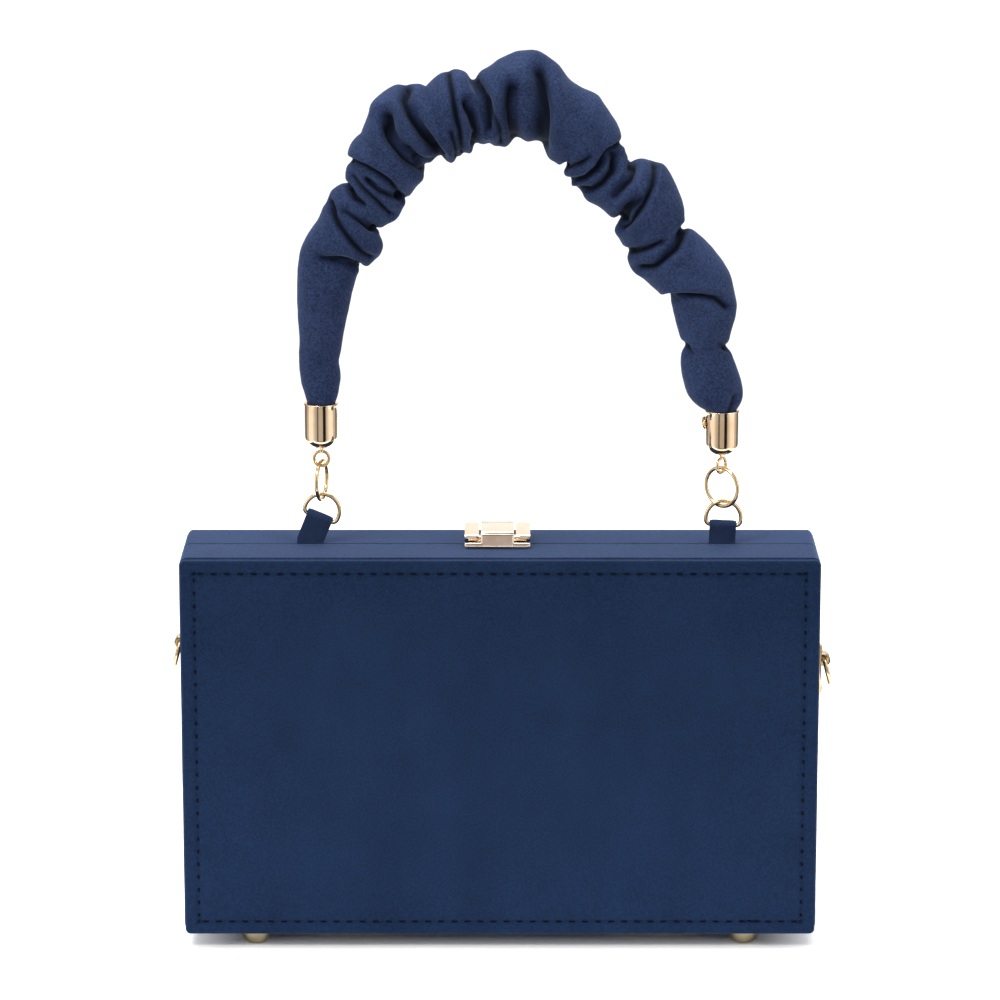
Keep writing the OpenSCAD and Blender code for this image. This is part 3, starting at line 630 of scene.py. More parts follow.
@dataclass
class Finishes:
    """Every finish of the purse, built once."""

    case: bpy.types.Material = field(init=False)
    panel: bpy.types.Material = field(init=False)
    sleeve: bpy.types.Material = field(init=False)
    tab: bpy.types.Material = field(init=False)
    thread: bpy.types.Material = field(init=False)
    lining: bpy.types.Material = field(init=False)
    board: bpy.types.Material = field(init=False)
    cord: bpy.types.Material = field(init=False)
    cap: bpy.types.Material = field(init=False)
    ring: bpy.types.Material = field(init=False)
    clasp: bpy.types.Material = field(init=False)
    clasp_brushed: bpy.types.Material = field(init=False)
    foot: bpy.types.Material = field(init=False)
    clip: bpy.types.Material = field(init=False)
    hinge: bpy.types.Material = field(init=False)
    steel: bpy.types.Material = field(init=False)

    def __post_init__(self) -> None:
        """Builds the materials."""
        self.case = Suede("case suede", (0.0040, 0.0135, 0.048, 1), (0.017, 0.038, 0.110, 1), sheen=0.56,
                          sheen_tint=(0.36, 0.50, 0.85, 1.0), grain_share=0.45, bump=0.6).material()
        self.panel = Suede("panel suede", (0.0040, 0.0140, 0.043, 1), (0.0118, 0.031, 0.086, 1), sheen=0.33,
                           grain_share=0.45, bump=0.4).material()
        self.sleeve = Suede("sleeve suede", (0.0085, 0.0168, 0.049, 1), (0.044, 0.067, 0.158, 1), sheen=0.22,
                            patch_scale=90.0, grain_share=0.42, bump=0.4, relief=True).material()
        self.tab = Suede("tab suede", (0.014, 0.027, 0.068, 1), (0.030, 0.052, 0.115, 1), sheen=0.3,
                         patch_scale=120.0, bump=0.3).material()
        self.thread = Fibre("navy thread", (0.0005, 0.0016, 0.007, 1), (0.0018, 0.0045, 0.018, 1), 4200.0,
                            (1.0, 1.0, 0.3)).material()
        self.lining = Fibre("dark lining", (0.012, 0.016, 0.028, 1), (0.034, 0.042, 0.065, 1), 2600.0,
                            (1.0, 1.0, 0.12), bump=0.2, sheen=0.3).material()
        self.board = Fibre("grey board", (0.30, 0.27, 0.22, 1), (0.48, 0.44, 0.37, 1), 700.0).material()
        self.cord = Fibre("navy cord", (0.004, 0.008, 0.024, 1), (0.010, 0.018, 0.048, 1), 1900.0).material()
        self.cap = Gold("cap gold", (0.93, 0.74, 0.53, 1), (0.84, 0.60, 0.38, 1), 0.06).material()
        self.ring = Gold("ring gold", (0.88, 0.67, 0.40, 1), (0.74, 0.51, 0.26, 1), 0.10).material()
        self.clasp = Gold("clasp gold", (1.0, 0.86, 0.70, 1), (0.95, 0.76, 0.56, 1), 0.10).material()
        self.clasp_brushed = Gold("brushed clasp gold", (0.92, 0.74, 0.62, 1), (0.74, 0.54, 0.42, 1), 0.28,
                                  brush=0.85, bump=0.35).material()
        # Foot brass with its tone cut far below the other plating; the darkness is painted shade for the feet's
        # place under the case.
        self.foot = Gold("foot brass", (0.33, 0.29, 0.19, 1), (0.24, 0.20, 0.12, 1), 0.28).material()
        self.clip = Gold("clip gold", (0.84, 0.68, 0.40, 1), (0.68, 0.50, 0.26, 1), 0.14).material()
        self.hinge = Gold("hinge gold", (0.86, 0.70, 0.48, 1), (0.76, 0.58, 0.36, 1), 0.24).material()
        self.steel = Gold("spring steel", (0.62, 0.62, 0.64, 1), (0.50, 0.50, 0.53, 1), 0.25).material()


# ---------------------------------------------------------------- case


@dataclass
class CaseHalf:
    """One half of the case: suede cover, padded panel with its thread, and lining."""

    half: Half
    finishes: Finishes
    width: float = 200.0
    height: float = 122.0
    bottom: float = 4.8
    rim: float = 0.02
    board_rim: float = 0.15
    face: float = 18.4
    cover_t: float = 0.6
    board_t: float = 2.0
    lining_t: float = 1.5
    corner: float = 2.6
    panel_t: float = 2.6
    panel_inset: float = 0.4
    panel_corner: float = 1.7
    panel_drop: float = 0.7
    stitch_side: float = 4.4
    stitch_top: float = 4.2
    stitch_bottom: float = 3.5
    pitch: float = 4.15

    @property
    def middle(self) -> float:
        """Height of the case's middle."""
        return self.bottom + self.height / 2

    def build(self) -> None:
        """Builds every piece of this half."""
        self.cover()
        self.panel()
        self.stitches()
        self.lining()
        for part in ("tray", "panel_card"):
            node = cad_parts[f"{self.half.label}_{part}"]
            dress(node, self.finishes.board)

    def place(self, loop: Loop, depth: float | np.ndarray) -> np.ndarray:
        """Points of a loop at a depth from the seam, on this half's side."""
        depths = np.broadcast_to(np.asarray(depth, float), len(loop))
        return np.column_stack([loop[:, 0], self.half.side * depths, loop[:, 1]])

    def cover(self) -> bpy.types.Object:
        """The suede wrapped round the walls and over the rim, closed and as thick as it is."""
        full = self.cover_t + self.board_t
        board = self.board_rim + self.cover_t
        turn = 0.55
        section = [(full, self.rim), (full / 2 + turn / 2, self.rim)]
        section += [(turn * (1 - math.sin(a)), self.rim + turn * (1 - math.cos(a)))
                    for a in np.linspace(0, math.pi / 2, 6)]
        section += [(0.0, y) for y in np.linspace(self.rim + turn, self.face - 0.3, 15)[1:]]
        section += [(0.09, self.face - 0.1), (0.3, self.face), (self.cover_t, self.face - 0.02)]
        section += [(self.cover_t, y) for y in np.linspace(self.face - 1, board, 8)]
        section += [(full / 2 + turn / 2, board), (full, board)]
        rows = []
        for inset, depth in section:
            loop = rounded_loop(self.width - 2 * inset, self.height - 2 * inset, self.corner - inset,
                                self.middle)
            rows.append(self.place(loop, depth))
        points = np.vstack(rows)
        outer = np.repeat([inset < 0.2 for inset, _ in section], len(rows[0]))
        wall_reach, lowest = 2, 0.03
        for i in np.flatnonzero(outer):
            x, y, z = points[i]
            on_side = abs(abs(x) - self.width / 2) < wall_reach
            on_level = abs(abs(z - self.middle) - self.height / 2) < wall_reach
            way = np.sign([x, 0, z - self.middle]) * [on_side, 0, on_level]
            lift = 0.05 * soft_noise(x, y, z, 17) + 0.025 * soft_noise(x, y, z, 5)
            points[i] += way * (lift - lowest)
        obj = new_object(f"{self.half.label}_suede_cover", points,
                         grid_faces(len(rows), len(rows[0]), close_rows=True), 60)
        return settle(obj, self.half.body, "suede", self.finishes.case, f"{self.half.label}_cover")

    def stitch_frame(self) -> tuple[float, float, float]:
        """Half width, bottom and top of the stitched rectangle."""
        half = self.width / 2 - self.panel_inset - self.stitch_side
        low = self.bottom + self.panel_inset + self.stitch_bottom
        return half, low, self.bottom + self.height - self.panel_inset - self.stitch_top

    def stitch_places(self, low: float, high: float) -> np.ndarray:
        """Evenly spaced needle holes from low to high."""
        return np.linspace(low, high, round((high - low) / self.pitch) + 1)

    def relief(self, x: float, z: float) -> float:
        """How far the panel's face stands proud of its nominal plane."""
        half, low, high = self.stitch_frame()
        holes_x, holes_z = self.stitch_places(-half, half), self.stitch_places(low, high)
        dx, dz = abs(abs(x) - half), min(abs(z - low), abs(z - high))
        inside_x, inside_z = abs(x) < half + 0.6, low - 0.6 < z < high + 0.6
        furrow, furrow_w, needle, needle_w, needle_len, crown = 0.38, 0.9, 0.34, 0.75, 0.7, 0.3
        lift = 0.0
        for inside, beside, along in ((inside_z, dx, holes_z - z), (inside_x, dz, holes_x - x)):
            if inside:
                lift -= furrow * math.exp(-((beside / furrow_w) ** 2))
                lift -= (needle * math.exp(-((beside / needle_w) ** 2))
                         * math.exp(-((np.abs(along).min() / needle_len) ** 2)))
        crown_x = max(0.0, 1 - (x / half) ** 6)
        crown_z = max(0.0, 1 - ((2 * z - low - high) / (high - low)) ** 6)
        lift += crown * crown_x * crown_z
        return lift + 0.10 * soft_noise(x, 5 * self.half.side, z, 34) + 0.035 * soft_noise(x, 9, z, 9)

    def grid_lines(self, low: float, high: float, seams: list, spacing: float) -> np.ndarray:
        """Grid coordinates that are dense beside the seams and hit every needle hole."""
        steps = (-2.0, -1.4, -0.95, -0.55, -0.25, 0, 0.25, 0.55, 0.95, 1.4, 2.0)
        near = [seam + step for seam in seams for step in steps]
        holes = self.stitch_places(min(seams), max(seams))
        fine = np.linspace(holes[0], holes[-1], (len(holes) - 1) * max(1, round(self.pitch / spacing)) + 1)
        lines = sorted([low, high] + [value for value in near if low < value < high])
        for value in fine:
            if low < value < high and min(abs(value - other) for other in lines) > 0.2:
                lines.append(value)
        return np.array(sorted(lines))

    def panel(self) -> bpy.types.Object:
        """The padded face: a crowned field, a sunk seam line and rounded edges, closed behind."""
        w, h = self.width - 2 * self.panel_inset, self.height - 2 * self.panel_inset
        half, low, high = self.stitch_frame()
        roll, spacing = 0.9, 0.7
        xs = self.grid_lines(-w / 2 + self.panel_corner, w / 2 - self.panel_corner, [-half, half], spacing)
        zs = self.grid_lines(self.middle - h / 2 + self.panel_corner - self.panel_drop,
                             self.middle + h / 2 - self.panel_corner, [low, high], spacing)
        front = self.face + self.panel_t
        side = self.half.side
        points = [(x, side * (front + self.relief(x, z)), z) for z in zs for x in xs]
        faces = grid_faces(len(zs), len(xs), close_columns=False)
        columns, rows = len(xs), len(zs)
        border = [(i, 0) for i in range(columns)] + [(columns - 1, j) for j in range(1, rows)]
        border += [(i, rows - 1) for i in range(columns - 2, -1, -1)] + [(0, j) for j in range(rows - 2, 0, -1)]
        spokes = self.spokes(border, columns, rows)
        profile = [(0.4, 0.0)]
        profile += [(self.panel_corner - roll + roll * math.sin(a), roll * (1 - math.cos(a)))
                    for a in np.linspace(0, math.pi / 2, 7)]
        profile += [(self.panel_corner, self.panel_t * 0.75), (self.panel_corner - 0.05, self.panel_t - 0.12),
                    (self.panel_corner - 0.5, self.panel_t), (-4.0, self.panel_t)]
        previous = [j * columns + i for (i, j), _ in spokes]
        for reach, drop in profile:
            ring = []
            for (i, j), (ux, uz) in spokes:
                x, z = xs[i] + ux * reach, zs[j] + uz * reach
                lift = self.relief(x, z) * max(0.0, 1 - drop / roll) if reach >= 0 else 0.0
                ring.append(len(points))
                points.append((x, side * (front - drop + lift), z))
            for k, start in enumerate(ring):
                n = (k + 1) % len(ring)
                quad = [previous[k], previous[n], ring[n], start]
                faces.append(quad if previous[k] != previous[n] else [previous[k], ring[n], start])
            previous = ring
        faces.append(previous)
        obj = new_object(f"{self.half.label}_padded_panel", np.array(points), faces, 60)
        return settle(obj, self.half.body, "suede_panel", self.finishes.panel, f"{self.half.label}_panel")

    @staticmethod
    def spokes(border: list, columns: int, rows: int, fan: int = 6) -> list:
        """Directions in which the panel's edge runs out from each border point, with a fan at each corner."""
        corners = {(0, 0): 180, (columns - 1, 0): 270, (columns - 1, rows - 1): 0, (0, rows - 1): 90}
        made = []
        for i, j in border:
            if (i, j) in corners:
                first = corners[(i, j)]
                turns = [math.radians(first + 90 * k / fan) for k in range(fan + 1)]
                made += [((i, j), (math.cos(t), math.sin(t))) for t in turns]
            else:
                edges = ((j == 0, (0, -1)), (j == rows - 1, (0, 1)), (i == columns - 1, (1, 0)),
                         (True, (-1, 0)))
                made.append(((i, j), next(across for met, across in edges if met)))
        return made

    def stitches(self) -> bpy.types.Object:
        """The sewing thread: one short arched stitch between every two needle holes."""
        half, low, high = self.stitch_frame()
        upright_gap, level_gap, upright_r, level_r, sunk, rise = 1.25, 0.75, 0.40, 0.33, 0.45, 0.62
        runs = []
        for x in (-half, half):
            holes = self.stitch_places(low, high)
            runs += [((x, a + upright_gap), (x, b - upright_gap)) for a, b in zip(holes[:-1], holes[1:])]
        for z in (low, high):
            holes = self.stitch_places(-half, half)
            runs += [((a + level_gap, z), (b - level_gap, z)) for a, b in zip(holes[:-1], holes[1:])]
        if self.half is Half.FRONT:
            runs += [((x - 1.3, low + 0.35), (x + 1.2, low - 0.15)) for x in (77.0, 79.2, 81.4)]
        points, faces = [], []
        sides, steps = 8, 7
        for start, end in runs:
            radius = upright_r if abs(start[0] - end[0]) < 0.1 else level_r
            first = len(points)
            ahead = Vector((end[0] - start[0], 0, end[1] - start[1])).normalized()
            across = ahead.cross(Vector((0, 1, 0)))
            for s in np.linspace(0, 1, steps):
                x, z = start[0] + (end[0] - start[0]) * s, start[1] + (end[1] - start[1]) * s
                arch = math.sin(math.pi * s) ** 0.5
                out = self.face + self.panel_t + self.relief(x, z) - sunk + rise * arch
                size = radius * (0.45 + 0.55 * arch)
                for k in range(sides):
                    turn = 2 * math.pi * k / sides
                    points.append((x + across.x * size * math.cos(turn),
                                   self.half.side * (out + size * math.sin(turn)),
                                   z + across.z * size * math.cos(turn)))
            faces += grid_faces(steps, sides, start=first)
            faces += [list(range(first, first + sides))[::-1],
                      list(range(first + (steps - 1) * sides, first + steps * sides))]
        obj = new_object(f"{self.half.label}_panel_thread", np.array(points), faces, 70)
        return settle(obj, self.half.body, "suede_panel", self.finishes.thread)

    def lining(self) -> bpy.types.Object:
        """The fleece-backed lining: a soft tray with a rolled lip, round inner corners and slack walls."""
        reach = self.cover_t + self.board_t
        w, h = self.width - 2 * reach, self.height - 2 * reach
        top, floor = self.board_rim + self.cover_t + 0.7, self.face - self.board_t
        t, curve, outer_corner, inner_corner = self.lining_t, 3, 0.6, 3.0
        inner = floor - t
        section = [(0.06, floor - 0.1), (0.05, floor - 2), (0.05, (top + floor) / 2), (0.05, top + 0.8),
                   (0.2, top + 0.2), (0.75, top), (1.3, top + 0.25), (t, top + 0.8)]
        section += [(t, y) for y in np.linspace(top + 2, inner - curve, 7)]
        section += [(t + curve * (1 - math.cos(a)), inner - curve + curve * math.sin(a))
                    for a in np.linspace(0.3, math.pi / 2, 5)]
        section += [(t + curve + d, inner) for d in (4, 9, 15, 22, 30, 40, 50)]
        rows = []
        for inset, depth in section:
            corner = inner_corner if inset > 1 else outer_corner
            loop = rounded_loop(w - 2 * inset, h - 2 * inset, corner, self.middle)
            row = self.place(loop, depth)
            if inset >= t:
                for point in row:
                    slack = 0.35 * soft_noise(*point, 16) + 0.2 * soft_noise(*point, 6)
                    point[1] += self.half.side * (slack - 0.3) * min(1.0, (inset - t) / curve + 0.1)
            rows.append(row)
        count = len(rows[0])
        points = np.vstack(rows)
        faces = grid_faces(len(rows), count)
        faces += [list(range(count)), list(range(len(points) - count, len(points)))]
        obj = new_object(f"{self.half.label}_soft_lining", points, faces, 60)
        return settle(obj, self.half.body, "lining", self.finishes.lining, f"{self.half.label}_lining")


# ---------------------------------------------------------------- clasp


@dataclass
class Clasp:
    """The press clasp on the back half's rim, with its flush catch on the front half."""

    finishes: Finishes
    x: float = -0.8
    deck: float = 126.8
    bar_w: float = 20.6
    stem_w: float = 10.4
    height: float = 5.3
    back: float = 8.5
    plate_t: float = 1.1
    toe_y: float = -7.1
    toe_z: float = 0.55
    bar_h: float = 1.3
    shoulder_r: float = 1.0
    pin_y: float = -3.2
    pin_z: float = 2.75
    boss_r: float = 1.1
    slope: float = 0.27

    def build(self) -> None:
        """Builds the lever and dresses the other pieces."""
        self.lever()
        self.border()
        self.brushed_face()
        for node, bevel in (("clasp_base", 0.22), ("clasp_rivets", 0.1), ("clasp_pin", 0.08)):
            settle_copy(node, bevel, "back_case", "clasp_gold", self.finishes.clasp)
        settle_copy("clasp_catch", 0.08, "front_case", "clasp_gold", self.finishes.clasp)
        dress(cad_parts["clasp_spring"], self.finishes.steel)

    def front_at(self, z: float) -> float:
        """Depth of the lever's front face at a height above the case."""
        return self.toe_y + (z - self.toe_z) * self.slope

    def prism(self, outline: list, x0: float, x1: float, bevel: float) -> bmesh.types.BMesh:
        """A bevelled prism of a YZ outline between two places along X."""
        build = bmesh.new()
        rows = [[build.verts.new(Vector((x, y, z)) * MM) for y, z in outline] for x in (x0, x1)]
        build.faces.new(rows[0])
        build.faces.new(rows[1][::-1])
        count = len(outline)
        for k in range(count):
            n = (k + 1) % count
            build.faces.new([rows[0][k], rows[1][k], rows[1][n], rows[0][n]])
        bmesh.ops.recalc_face_normals(build, faces=build.faces)
        least = math.radians(35)
        sharp = [edge for edge in build.edges if len(edge.link_faces) == 2 and edge.calc_face_angle() > least]
        bmesh.ops.bevel(build, geom=sharp, offset=bevel * MM, segments=3, profile=0.5, affect="EDGES",
                        clamp_overlap=True)
        return build

    def lever(self) -> bpy.types.Object:
        """The T-shaped lever: tail, round shoulder, front flap, crossbar and pivot boss."""
        top, r, t = self.deck + self.height, self.shoulder_r, self.plate_t
        centre_y = self.front_at(self.height - r) + r * 1.02
        outer = [(centre_y + r * math.cos(a), top - r + r * math.sin(a))
                 for a in np.radians(np.linspace(90, 172, 10))]
        inner_r = r - t * 0.7
        inner = [(centre_y + inner_r * math.cos(a), top - r + inner_r * math.sin(a) - 0.3)
                 for a in np.radians(np.linspace(172, 90, 6))]
        outline = [(self.back, top)] + outer + [(self.toe_y, self.deck + self.toe_z)]
        outline += [(self.toe_y + t, self.deck + self.toe_z)] + inner + [(self.back, top - t)]
        half = self.stem_w / 2
        low, high = self.deck + self.toe_z, self.deck + self.toe_z + self.bar_h
        bar = [(self.front_at(self.toe_z), low), (self.front_at(self.toe_z) + 1.3, low),
               (self.front_at(self.toe_z) + 1.45, high), (self.front_at(self.toe_z + self.bar_h), high)]
        boss = [(self.pin_y + self.boss_r * math.cos(a), self.deck + self.pin_z + self.boss_r * math.sin(a))
                for a in np.linspace(0, 2 * math.pi, 33)[:-1]]
        web = [(self.pin_y - 1, self.deck + self.pin_z), (self.pin_y + 1, self.deck + self.pin_z),
               (self.pin_y + 1, top - t / 2), (self.pin_y - 1, top - t / 2)]
        mesh = bpy.data.meshes.new("clasp_press_lever")
        whole = bmesh.new()
        for outline_part, wide, bevel in ((outline, half, 0.24), (bar, self.bar_w / 2, 0.2), (boss, half, 0.08),
                                          (web, half - 0.1, 0.05)):
            piece = self.prism(outline_part, self.x - wide, self.x + wide, bevel)
            scratch = bpy.data.meshes.new("scratch")
            piece.to_mesh(scratch)
            piece.free()
            whole.from_mesh(scratch)
            bpy.data.meshes.remove(scratch)
        whole.to_mesh(mesh)
        whole.free()
        mesh.shade_smooth()
        mesh.set_sharp_from_angle(angle=math.radians(42))
        obj = place_object("clasp_press_lever", mesh)
        return settle(obj, "clasp_lever", "clasp_lever_gold", self.finishes.clasp, "clasp_lever")

    def outline(self, inset: float) -> list:
        """The inverted T of the lever's front, as (x, height above the case), inset from its edges."""
        bar, stem = self.bar_w / 2 - inset, self.stem_w / 2 - inset
        low, step = self.toe_z + inset, self.toe_z + self.bar_h - inset
        top = self.height - self.shoulder_r + 0.15 - inset * 0.4
        right = [(bar, low), (bar, step), (stem, step), (stem, top)]
        return [(-bar, low)] + right + [(-x, z) for x, z in right[:0:-1]]

    def border(self) -> bpy.types.Object:
        """The polished raised bead round the lever's front."""
        bead, proud, steps = 0.24, 0.02, 10
        corners = self.outline(0.26)
        path = []
        for k, (x, z) in enumerate(corners):
            nx, nz = corners[(k + 1) % len(corners)]
            for s in range(steps):
                px, pz = x + (nx - x) * (s / steps), z + (nz - z) * (s / steps)
                path.append((self.x + px, self.front_at(pz) - proud, self.deck + pz))
        obj = wire("clasp_lever_border", np.array(path), bead, sides=12)
        return settle(obj, "clasp_lever", "clasp_lever_gold", self.finishes.clasp)

    def brushed_face(self) -> bpy.types.Object:
        """The brushed field inside the bead, a thin inlaid plate."""
        ring = self.outline(0.34)
        points = [(self.x + x, self.front_at(z) - proud, self.deck + z)
                  for proud in (0.05, -0.2) for x, z in ring]
        count = len(ring)
        faces = [list(range(count)), list(range(count, 2 * count))[::-1]] + grid_faces(2, count)
        obj = new_object("clasp_lever_brushed", np.array(points), faces, 30)
        return settle(obj, "clasp_lever", "clasp_lever_gold", self.finishes.clasp_brushed)


# ---------------------------------------------------------------- handle: tabs, rings, caps


@dataclass
class Chain:
    """One end of the handle: tab, D-ring, round link, eye and cap."""

    side: str
    finishes: Finishes
    x: float
    ring_offset: float
    bar_z: float
    lean: float
    link_turn: float
    eye_turn: float
    deck: float = 126.8
    plane_y: float = 1.1
    ring_r: float = 5.5
    leg: float = 2.2
    wire_r: float = 0.65
    link_r: float = 6.15
    eye_r: float = 2.35
    eye_wire: float = 0.55
    gap: float = 0.35
    tab_w: float = 8.3
    tab_t: float = 0.86
    tail_flare: float = 0.85
    cap_r: float = 5.15
    cap_len: float = 14.2

    def __post_init__(self) -> None:
        """Works out the heights up the chain, as the frame has them."""
        sine, cosine = math.sin(math.radians(self.lean)), math.cos(math.radians(self.lean))
        self.bar = (self.x + self.ring_offset - self.leg * sine, self.deck + self.bar_z)
        arc_top = self.bar[1] + self.leg * cosine + self.ring_r
        self.link_z = arc_top - 2 * self.wire_r - self.gap + self.link_r
        self.eye_z = self.link_z + self.link_r - self.wire_r - self.eye_wire - self.gap + self.eye_r
        self.cap_z = self.eye_z + self.eye_r + self.eye_wire + 0.8

    def build(self) -> None:
        """Builds every piece of this end."""
        self.tab()
        self.d_ring()
        self.link()
        self.eye()
        self.cap()
        settle_copy(f"{self.side}_set_screw", 0.12, "handle", "cap_gold", self.finishes.ring)

    def tab(self) -> bpy.types.Object:
        """One suede strap: glued under the top, up through the seam, round the D-ring's bar and back."""
        lean = math.radians(self.lean)
        foot_x = self.bar[0] - (self.bar_z - 0.9) * math.tan(lean)
        half_t = self.tab_t / 2
        wrap = self.wire_r + half_t + 0.08
        apart, opening, across_steps = 0.47, 0.65, 9
        tail_z, back_z, front_z = self.deck - 3.1, self.deck - 0.5, self.deck - 1.8
        path = [(y, tail_z) for y in np.linspace(13.5, 4.2, 9)]
        path += [(self.plane_y + apart + 2.6 * (1 - math.sin(a)), tail_z + 2.2 * (1 - math.cos(a)))
                 for a in np.linspace(0.15, math.pi / 2, 5)]
        for s in np.linspace(0, 1, 12):
            width = apart + (wrap - apart) * max(0.0, s - 0.35) ** 2 / opening ** 2
            path.append((self.plane_y + width, back_z + (self.bar[1] - back_z) * s))
        path += [(self.plane_y + wrap * math.cos(a), self.bar[1] + wrap * math.sin(a))
                 for a in np.linspace(0, math.pi, 13)[1:]]
        for s in np.linspace(0, 1, 12)[1:]:
            width = apart + (wrap - apart) * max(0.0, opening - s) ** 2 / opening ** 2
            path.append((self.plane_y - width, self.bar[1] + (front_z - self.bar[1]) * s))
        line = np.array(path)
        rows = []
        for k, (y, z) in enumerate(line):
            before, after = line[max(k - 1, 0)], line[min(k + 1, len(line) - 1)]
            ahead = np.array([after[0] - before[0], after[1] - before[1]])
            ahead /= np.linalg.norm(ahead)
            normal = np.array([ahead[1], -ahead[0]])
            tilt = min(max((z - self.deck) / 1.5, 0.0), 1.0)
            x0 = foot_x + max(0.0, z - self.deck - 0.9) * math.tan(lean)
            spread = math.cos(lean) * tilt + (1 - tilt)
            ring = []
            edge = self.tab_w / 2 + self.tail_flare * min(max((y - 4.0) / 6.0, 0.0), 1.0)
            for side_sign in (1, -1):
                for u in np.linspace(-1, 1, across_steps)[::side_sign]:
                    thin = half_t * (0.55 if abs(u) == 1 else 0.92 if abs(u) > 0.7 else 1.0)
                    wave = 0.10 * soft_noise(u * 3, z, y, 2.4)
                    off = side_sign * thin + wave
                    px = x0 + u * edge * spread
                    pz = z - u * edge * math.sin(lean) * tilt + normal[1] * off
                    ring.append((px, y + normal[0] * off, pz))
            rows.append(ring)
        count = len(rows[0])
        points = np.array([p for ring in rows for p in ring])
        faces = grid_faces(len(rows), count)
        faces += [list(range(count))[::-1], list(range(len(points) - count, len(points)))]
        obj = new_object(f"{self.side}_suede_tab", points, faces, 60)
        body = f"{self.side}_tab_ring"
        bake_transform(obj, "back_case", body, start=(self.bar[0] * MM, self.plane_y * MM, (self.deck - 0.6) * MM),
                 end=(self.bar[0] * MM, self.plane_y * MM, (self.deck + 2.2) * MM))
        return settle(obj, body, "suede_tab", self.finishes.tab, f"{self.side}_tab", f"{self.side}_tab_anchor")

    def d_ring(self) -> bpy.types.Object:
        """The D-ring: one bent wire whose corners are rounded."""
        lean = math.radians(self.lean)
        path = [(self.bar[0] + x * math.cos(lean) + z * math.sin(lean), self.plane_y,
                 self.bar[1] - x * math.sin(lean) + z * math.cos(lean))
                for x, z in d_outline(self.ring_r, 1.5, self.leg, 16, 7, 41)]
        obj = wire(f"{self.side}_dring_wire", np.array(path), self.wire_r, sides=24)
        return settle(obj, f"{self.side}_tab_ring", "ring_gold", self.finishes.ring, f"{self.side}_dring")

    def ring_path(self, x: float, z: float, radius: float, turn: float, steps: int) -> np.ndarray:
        """A circle that stands upright and is turned about the vertical."""
        turn = math.radians(turn)
        return np.array([(x + radius * math.cos(a) * math.cos(turn),
                          self.plane_y + radius * math.cos(a) * math.sin(turn), z + radius * math.sin(a))
                         for a in np.linspace(0, 2 * math.pi, steps + 1)[:-1]])

    def link(self) -> bpy.types.Object:
        """The round link, a closed jump ring."""
        path = self.ring_path(self.x + self.ring_offset / 4, self.link_z, self.link_r, self.link_turn, 96)
        turn = math.radians(self.link_turn)
        obj = wire(f"{self.side}_jump_ring", path, self.wire_r - 0.03, sides=24,
                   up=Vector((-math.sin(turn), math.cos(turn), 0)))
        return settle(obj, f"{self.side}_link", "ring_gold", self.finishes.ring, f"{self.side}_link")

    def eye(self) -> bpy.types.Object:
        """The screw eye: a closed loop on a shank that stands in the cap's floor."""
        turn = math.radians(self.eye_turn)
        up = Vector((-math.sin(turn), math.cos(turn), 0))
        steps, wire_sides, sides = 48, 18, 32
        middle = self.ring_path(self.x, self.eye_z, self.eye_r, self.eye_turn, steps)
        loop = tube_points(middle, self.eye_wire - 0.02, wire_sides, up)
        above = ((0.0, -0.2), (0.75, -0.15), (0.62, 0.35), (0.7, 0.8), (0.9, 1.2), (0.9, 2.75), (2.0, 2.75),
                 (1.9, 3.3), (0.0, 3.35))
        profile = [(wide, self.eye_r + z) for wide, z in above]
        shank = [(self.x + r * math.cos(a), self.plane_y + r * math.sin(a), self.eye_z + z)
                 for a in np.linspace(0, 2 * math.pi, sides + 1)[:-1] for r, z in profile]
        faces = grid_faces(steps, wire_sides, close_rows=True)
        faces += grid_faces(sides, len(profile), close_rows=True, close_columns=False, start=len(loop))
        obj = new_object(f"{self.side}_screw_eye", np.vstack([loop, np.array(shank)]), faces, 50)
        return settle(obj, "handle", "ring_gold", self.finishes.ring, f"{self.side}_eye")

    def cap(self) -> bpy.types.Object:
        """The end cap: a spun cup with a round bottom, a slight flare and a rolled lip."""
        r, curve, length = self.cap_r, 3.5, self.cap_len
        profile = [(0.95, 1.3), (0.95, 0.12), (1.1, 0.0), (r - curve - 0.5, 0.0)]
        profile += [(r - curve + curve * math.cos(a), curve + curve * math.sin(a))
                    for a in np.radians(np.linspace(-80, 0, 14))]
        profile += [(r, z) for z in np.linspace(curve + 1, length - 1.8, 6)]
        lip = ((0.04, 1.2), (0.12, 0.7), (0.19, 0.35), (0.17, 0.12), (0.05, 0), (-0.35, 0), (-0.62, 0.12),
               (-0.7, 0.4))
        profile += [(r + wide, length - low) for wide, low in lip]
        profile += [(r - 0.7, curve + 0.4), (r - 3.2, 1.3)]
        obj = lathe(f"{self.side}_end_cap", profile, (self.x, self.plane_y, self.cap_z))
        return settle(obj, "handle", "cap_gold", self.finishes.cap, f"{self.side}_cap")


# ---------------------------------------------------------------- handle: sleeve


@dataclass(frozen=True)
class Rib:
    """A line across the sleeve, from the arch's inside to its outside, along which the fabric turns.

    Attributes:
        fold: crest, valley or smooth.
        inner: (x, z) on the arch's inside.
        outer: (x, z) on the arch's outside.
        depth: half thickness front to back, as a share of half the rib's length.
    """

    fold: Fold
    inner: tuple[float, float]
    outer: tuple[float, float]
    depth: float = 0.95


@dataclass(frozen=True)
class Crease:
    """A crease line over the sleeve's front, as (x, z) points, with its depth at both ends and its width."""

    line: tuple
    start: float
    end: float
    width: float = 0.9


S, C, V = Fold.SMOOTH, Fold.CREST, Fold.VALLEY


